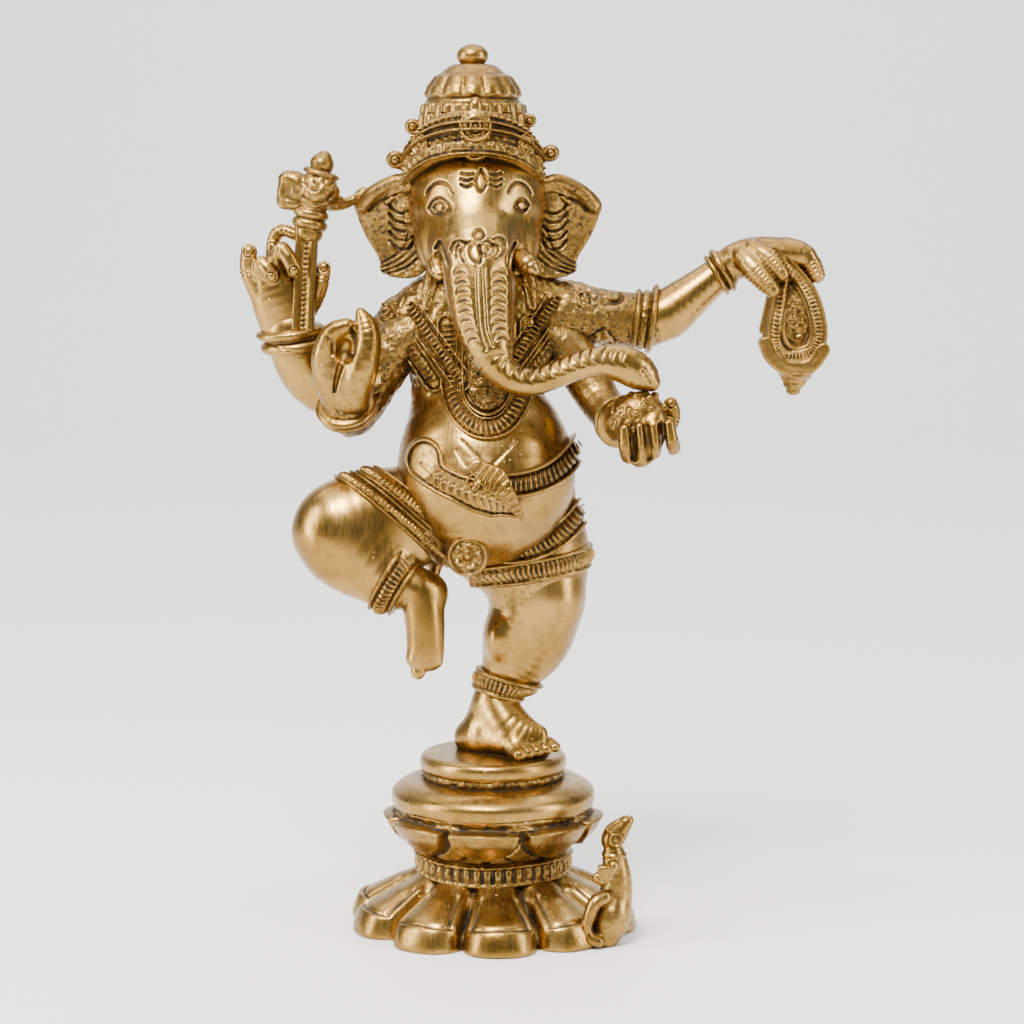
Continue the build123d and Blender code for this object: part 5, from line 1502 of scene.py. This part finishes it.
def antique_brass():
    """Worn bright brass on the high places, dark patina in the low ones, and painted shade where sections crowd.
    """
    material = bpy.data.materials.new("antique_brass")
    material.use_nodes = True
    tree = material.node_tree
    shader = tree.nodes["Principled BSDF"]

    def node(kind, **settings):
        made = tree.nodes.new(kind)
        for key, value in settings.items():
            setattr(made, key, value)
        return made

    def link(source, target):
        tree.links.new(source, target)

    def number(name):
        return node("ShaderNodeAttribute", attribute_name=name).outputs["Fac"]

    def maths(kind, a, b=0.5, clamp=False):
        made = node("ShaderNodeMath", operation=kind, use_clamp=clamp)
        for socket, value in zip(made.inputs, (a, b)):
            if isinstance(value, (int, float)):
                socket.default_value = value
            else:
                link(value, socket)
        return made.outputs[0]

    def ranged(value, low, high, to_low=0.0, to_high=1.0):
        made = node("ShaderNodeMapRange", interpolation_type="SMOOTHSTEP")
        link(value, made.inputs["Value"])
        for key, amount in (("From Min", low), ("From Max", high), ("To Min", to_low), ("To Max", to_high)):
            made.inputs[key].default_value = amount
        return made.outputs["Result"]

    place = node("ShaderNodeTexCoord").outputs["Object"]

    def cloud(size, detail=3.0, stretch=None):
        vector = place
        if stretch:
            scale = node("ShaderNodeMapping")
            link(place, scale.inputs["Vector"])
            scale.inputs["Scale"].default_value = stretch
            vector = scale.outputs["Vector"]
        made = node("ShaderNodeTexNoise")
        link(vector, made.inputs["Vector"])
        made.inputs["Scale"].default_value = 1 / (size * MM)
        made.inputs["Detail"].default_value = detail
        return made.outputs["Fac"]

    grain = number("grain")
    fine = cloud(0.9, 4.0)
    medium = cloud(3.2, 3.0)
    broad = cloud(17.0, 2.0)

    # Patina in engraved lines and ribs' valleys, then painted shade in nooks between sections and deep among
    # them, then patina on granular ground.
    lines = ranged(number("cavity"), 0.04, 0.17)
    # painted shade where other sections crowd close by
    painted_nook_shade_mask = ranged(number("painted_nook_shade"), 0.58, 0.80)
    # painted shade where the statue is deep all around
    deep = ranged(number("depth"), 0.58, 0.86)
    speckle = ranged(fine, 0.50, 0.66)
    low = maths("MAXIMUM", lines, maths("MULTIPLY", painted_nook_shade_mask, 0.85), True)
    low = maths("MAXIMUM", low, maths("MULTIPLY", deep, 0.7), True)
    mottled = maths("MULTIPLY", maths("MULTIPLY", speckle, grain, True), 1.35, True)
    low = maths("MAXIMUM", low, mottled, True)
    uneven = ranged(medium, 0.25, 0.75, 0.55, 1.1)
    patina_and_painted_shade = maths("MULTIPLY", low, uneven, True)

    bright = node("ShaderNodeMix", data_type="RGBA")
    bright.inputs["A"].default_value = DULL_BRASS
    bright.inputs["B"].default_value = BRIGHT_BRASS
    link(ranged(broad, 0.3, 0.7), bright.inputs["Factor"])
    tarnish_and_painted_shade_mix = node("ShaderNodeMix", data_type="RGBA")
    link(bright.outputs["Result"], tarnish_and_painted_shade_mix.inputs["A"])
    tarnish_and_painted_shade_mix.inputs["B"].default_value = TARNISH_AND_PAINTED_SHADE
    tarnish_and_painted_shade = maths("MULTIPLY", ranged(medium, 0.42, 0.72), 0.22)
    # painted shade: the tarnish darkens where the statue is deep all around
    tarnish_and_painted_shade = maths("ADD", tarnish_and_painted_shade, maths("MULTIPLY", deep, 0.35), True)
    tarnish_and_painted_shade = maths("ADD", tarnish_and_painted_shade, maths("MULTIPLY", grain, 0.35), True)
    link(tarnish_and_painted_shade, tarnish_and_painted_shade_mix.inputs["Factor"])
    aged = node("ShaderNodeMix", data_type="RGBA")
    link(tarnish_and_painted_shade_mix.outputs["Result"], aged.inputs["A"])
    aged.inputs["B"].default_value = PATINA_AND_PAINTED_SHADE
    link(patina_and_painted_shade, aged.inputs["Factor"])
    link(aged.outputs["Result"], shader.inputs["Base Color"])

    link(ranged(patina_and_painted_shade, 0.35, 1.0, 1.0, 0.45), shader.inputs["Metallic"])
    brushed = cloud(0.5, 2.0, (1.0, 0.12, 0.12))
    rough = maths("ADD", ranged(medium, 0.3, 0.7, 0.22, 0.28), maths("MULTIPLY", patina_and_painted_shade, 0.35))
    rough = maths("ADD", rough, maths("MULTIPLY", grain, 0.10))
    rough = maths("ADD", rough, maths("MULTIPLY", ranged(brushed, 0.3, 0.7), 0.07), True)
    link(rough, shader.inputs["Roughness"])

    # Fine surface: casting grain where the ground is granular, faint file marks and pits elsewhere.
    coarse = cloud(1.1, 3.0)
    height = maths("MULTIPLY", coarse, grain)
    height = maths("ADD", height, maths("MULTIPLY", medium, 0.22))
    height = maths("ADD", height, maths("MULTIPLY", brushed, 0.05))
    pits = ranged(cloud(1.5, 1.0), 0.74, 0.80)
    height = maths("SUBTRACT", height, maths("MULTIPLY", pits, 0.5))
    bump = node("ShaderNodeBump")
    bump.inputs["Distance"].default_value = RELIEF
    bump.inputs["Strength"].default_value = 0.6
    link(height, bump.inputs["Height"])
    link(bump.outputs["Normal"], shader.inputs["Normal"])
    return material


brass = antique_brass()
for part in sections:
    build_mesh(part, brass)


# ---- floor, light and camera --------------------------------------------------------------------
def plain(name, colour, roughness):
    material = bpy.data.materials.new(name)
    material.use_nodes = True
    shader = material.node_tree.nodes["Principled BSDF"]
    shader.inputs["Base Color"].default_value = (*colour, 1)
    shader.inputs["Roughness"].default_value = roughness
    return material


def backdrop():
    """A pale floor that curves up into a wall behind the statue, in metres."""
    depth, rise, bend, half, near_edge = 2.4, 3.0, 1.2, 4.0, -3.0
    profile = [(near_edge, 0.0), (depth - bend, 0.0)]
    arc_steps = 16
    for i in range(1, arc_steps + 1):
        turn = math.pi / 2 * i / arc_steps
        profile.append((depth - bend + bend * math.sin(turn), bend - bend * math.cos(turn)))
    profile.append((depth, rise))
    vertices = [(x, y, z) for y, z in profile for x in (-half, half)]
    faces = [(2 * i, 2 * i + 1, 2 * i + 3, 2 * i + 2) for i in range(len(profile) - 1)]
    mesh = bpy.data.meshes.new("backdrop")
    mesh.from_pydata(vertices, [], faces)
    mesh.polygons.foreach_set("use_smooth", [True] * len(faces))
    mesh.materials.append(plain("backdrop", (0.80, 0.79, 0.77), 0.55))
    floor = bpy.data.objects.new("backdrop", mesh)
    bpy.context.scene.collection.objects.link(floor)


def soft_light(name, place, target, size, watts, colour=(1, 1, 1)):
    lamp = bpy.data.lights.new(name, "AREA")
    lamp.shape = "RECTANGLE"
    lamp.size, lamp.size_y = size
    lamp.energy = watts
    lamp.color = colour
    stand = bpy.data.objects.new(name, lamp)
    stand.location = place
    stand.rotation_euler = (Vector(target) - Vector(place)).to_track_quat("-Z", "Y").to_euler()
    bpy.context.scene.collection.objects.link(stand)


backdrop()
middle = (0.0, 0.0, 0.11)  # half way up the statue
soft_light("key", (-0.20, -0.50, 0.85), middle, (0.38, 0.30), 22, (1.0, 0.98, 0.95))
soft_light("left", (-0.80, -0.25, 0.30), middle, (0.24, 0.8), 11, (1.0, 0.99, 0.97))
soft_light("right", (0.80, -0.30, 0.35), middle, (0.25, 0.8), 8, (1.0, 0.99, 0.97))
soft_light("wash", (0.0, 0.5, 2.4), (0.0, 0.7, 0.0), (3.0, 2.4), 75)
soft_light("wall", (0.0, 0.8, 1.7), (0.0, 2.4, 0.5), (3.0, 0.8), 46)

world = bpy.data.worlds.new("studio")
world.use_nodes = True
world.node_tree.nodes["Background"].inputs["Color"].default_value = (0.88, 0.9, 0.93, 1)
world.node_tree.nodes["Background"].inputs["Strength"].default_value = 0.26
bpy.context.scene.world = world

VIEW_FROM = Vector((4.75, -700.0, 187.0))
VIEW_TO = Vector((4.75, 0.0, 104.5))
to_row = Vector((AXIS_X, AXIS_Y, 0.0))
lens = bpy.data.cameras.new("camera")
lens.lens = 99.1
lens.sensor_width = 36.0
lens.clip_start = 0.01
camera = bpy.data.objects.new("camera", lens)
camera.location = (VIEW_FROM + to_row) * MM
camera.rotation_euler = (VIEW_TO - VIEW_FROM).to_track_quat("-Z", "Y").to_euler()
bpy.context.scene.collection.objects.link(camera)
bpy.context.scene.camera = camera
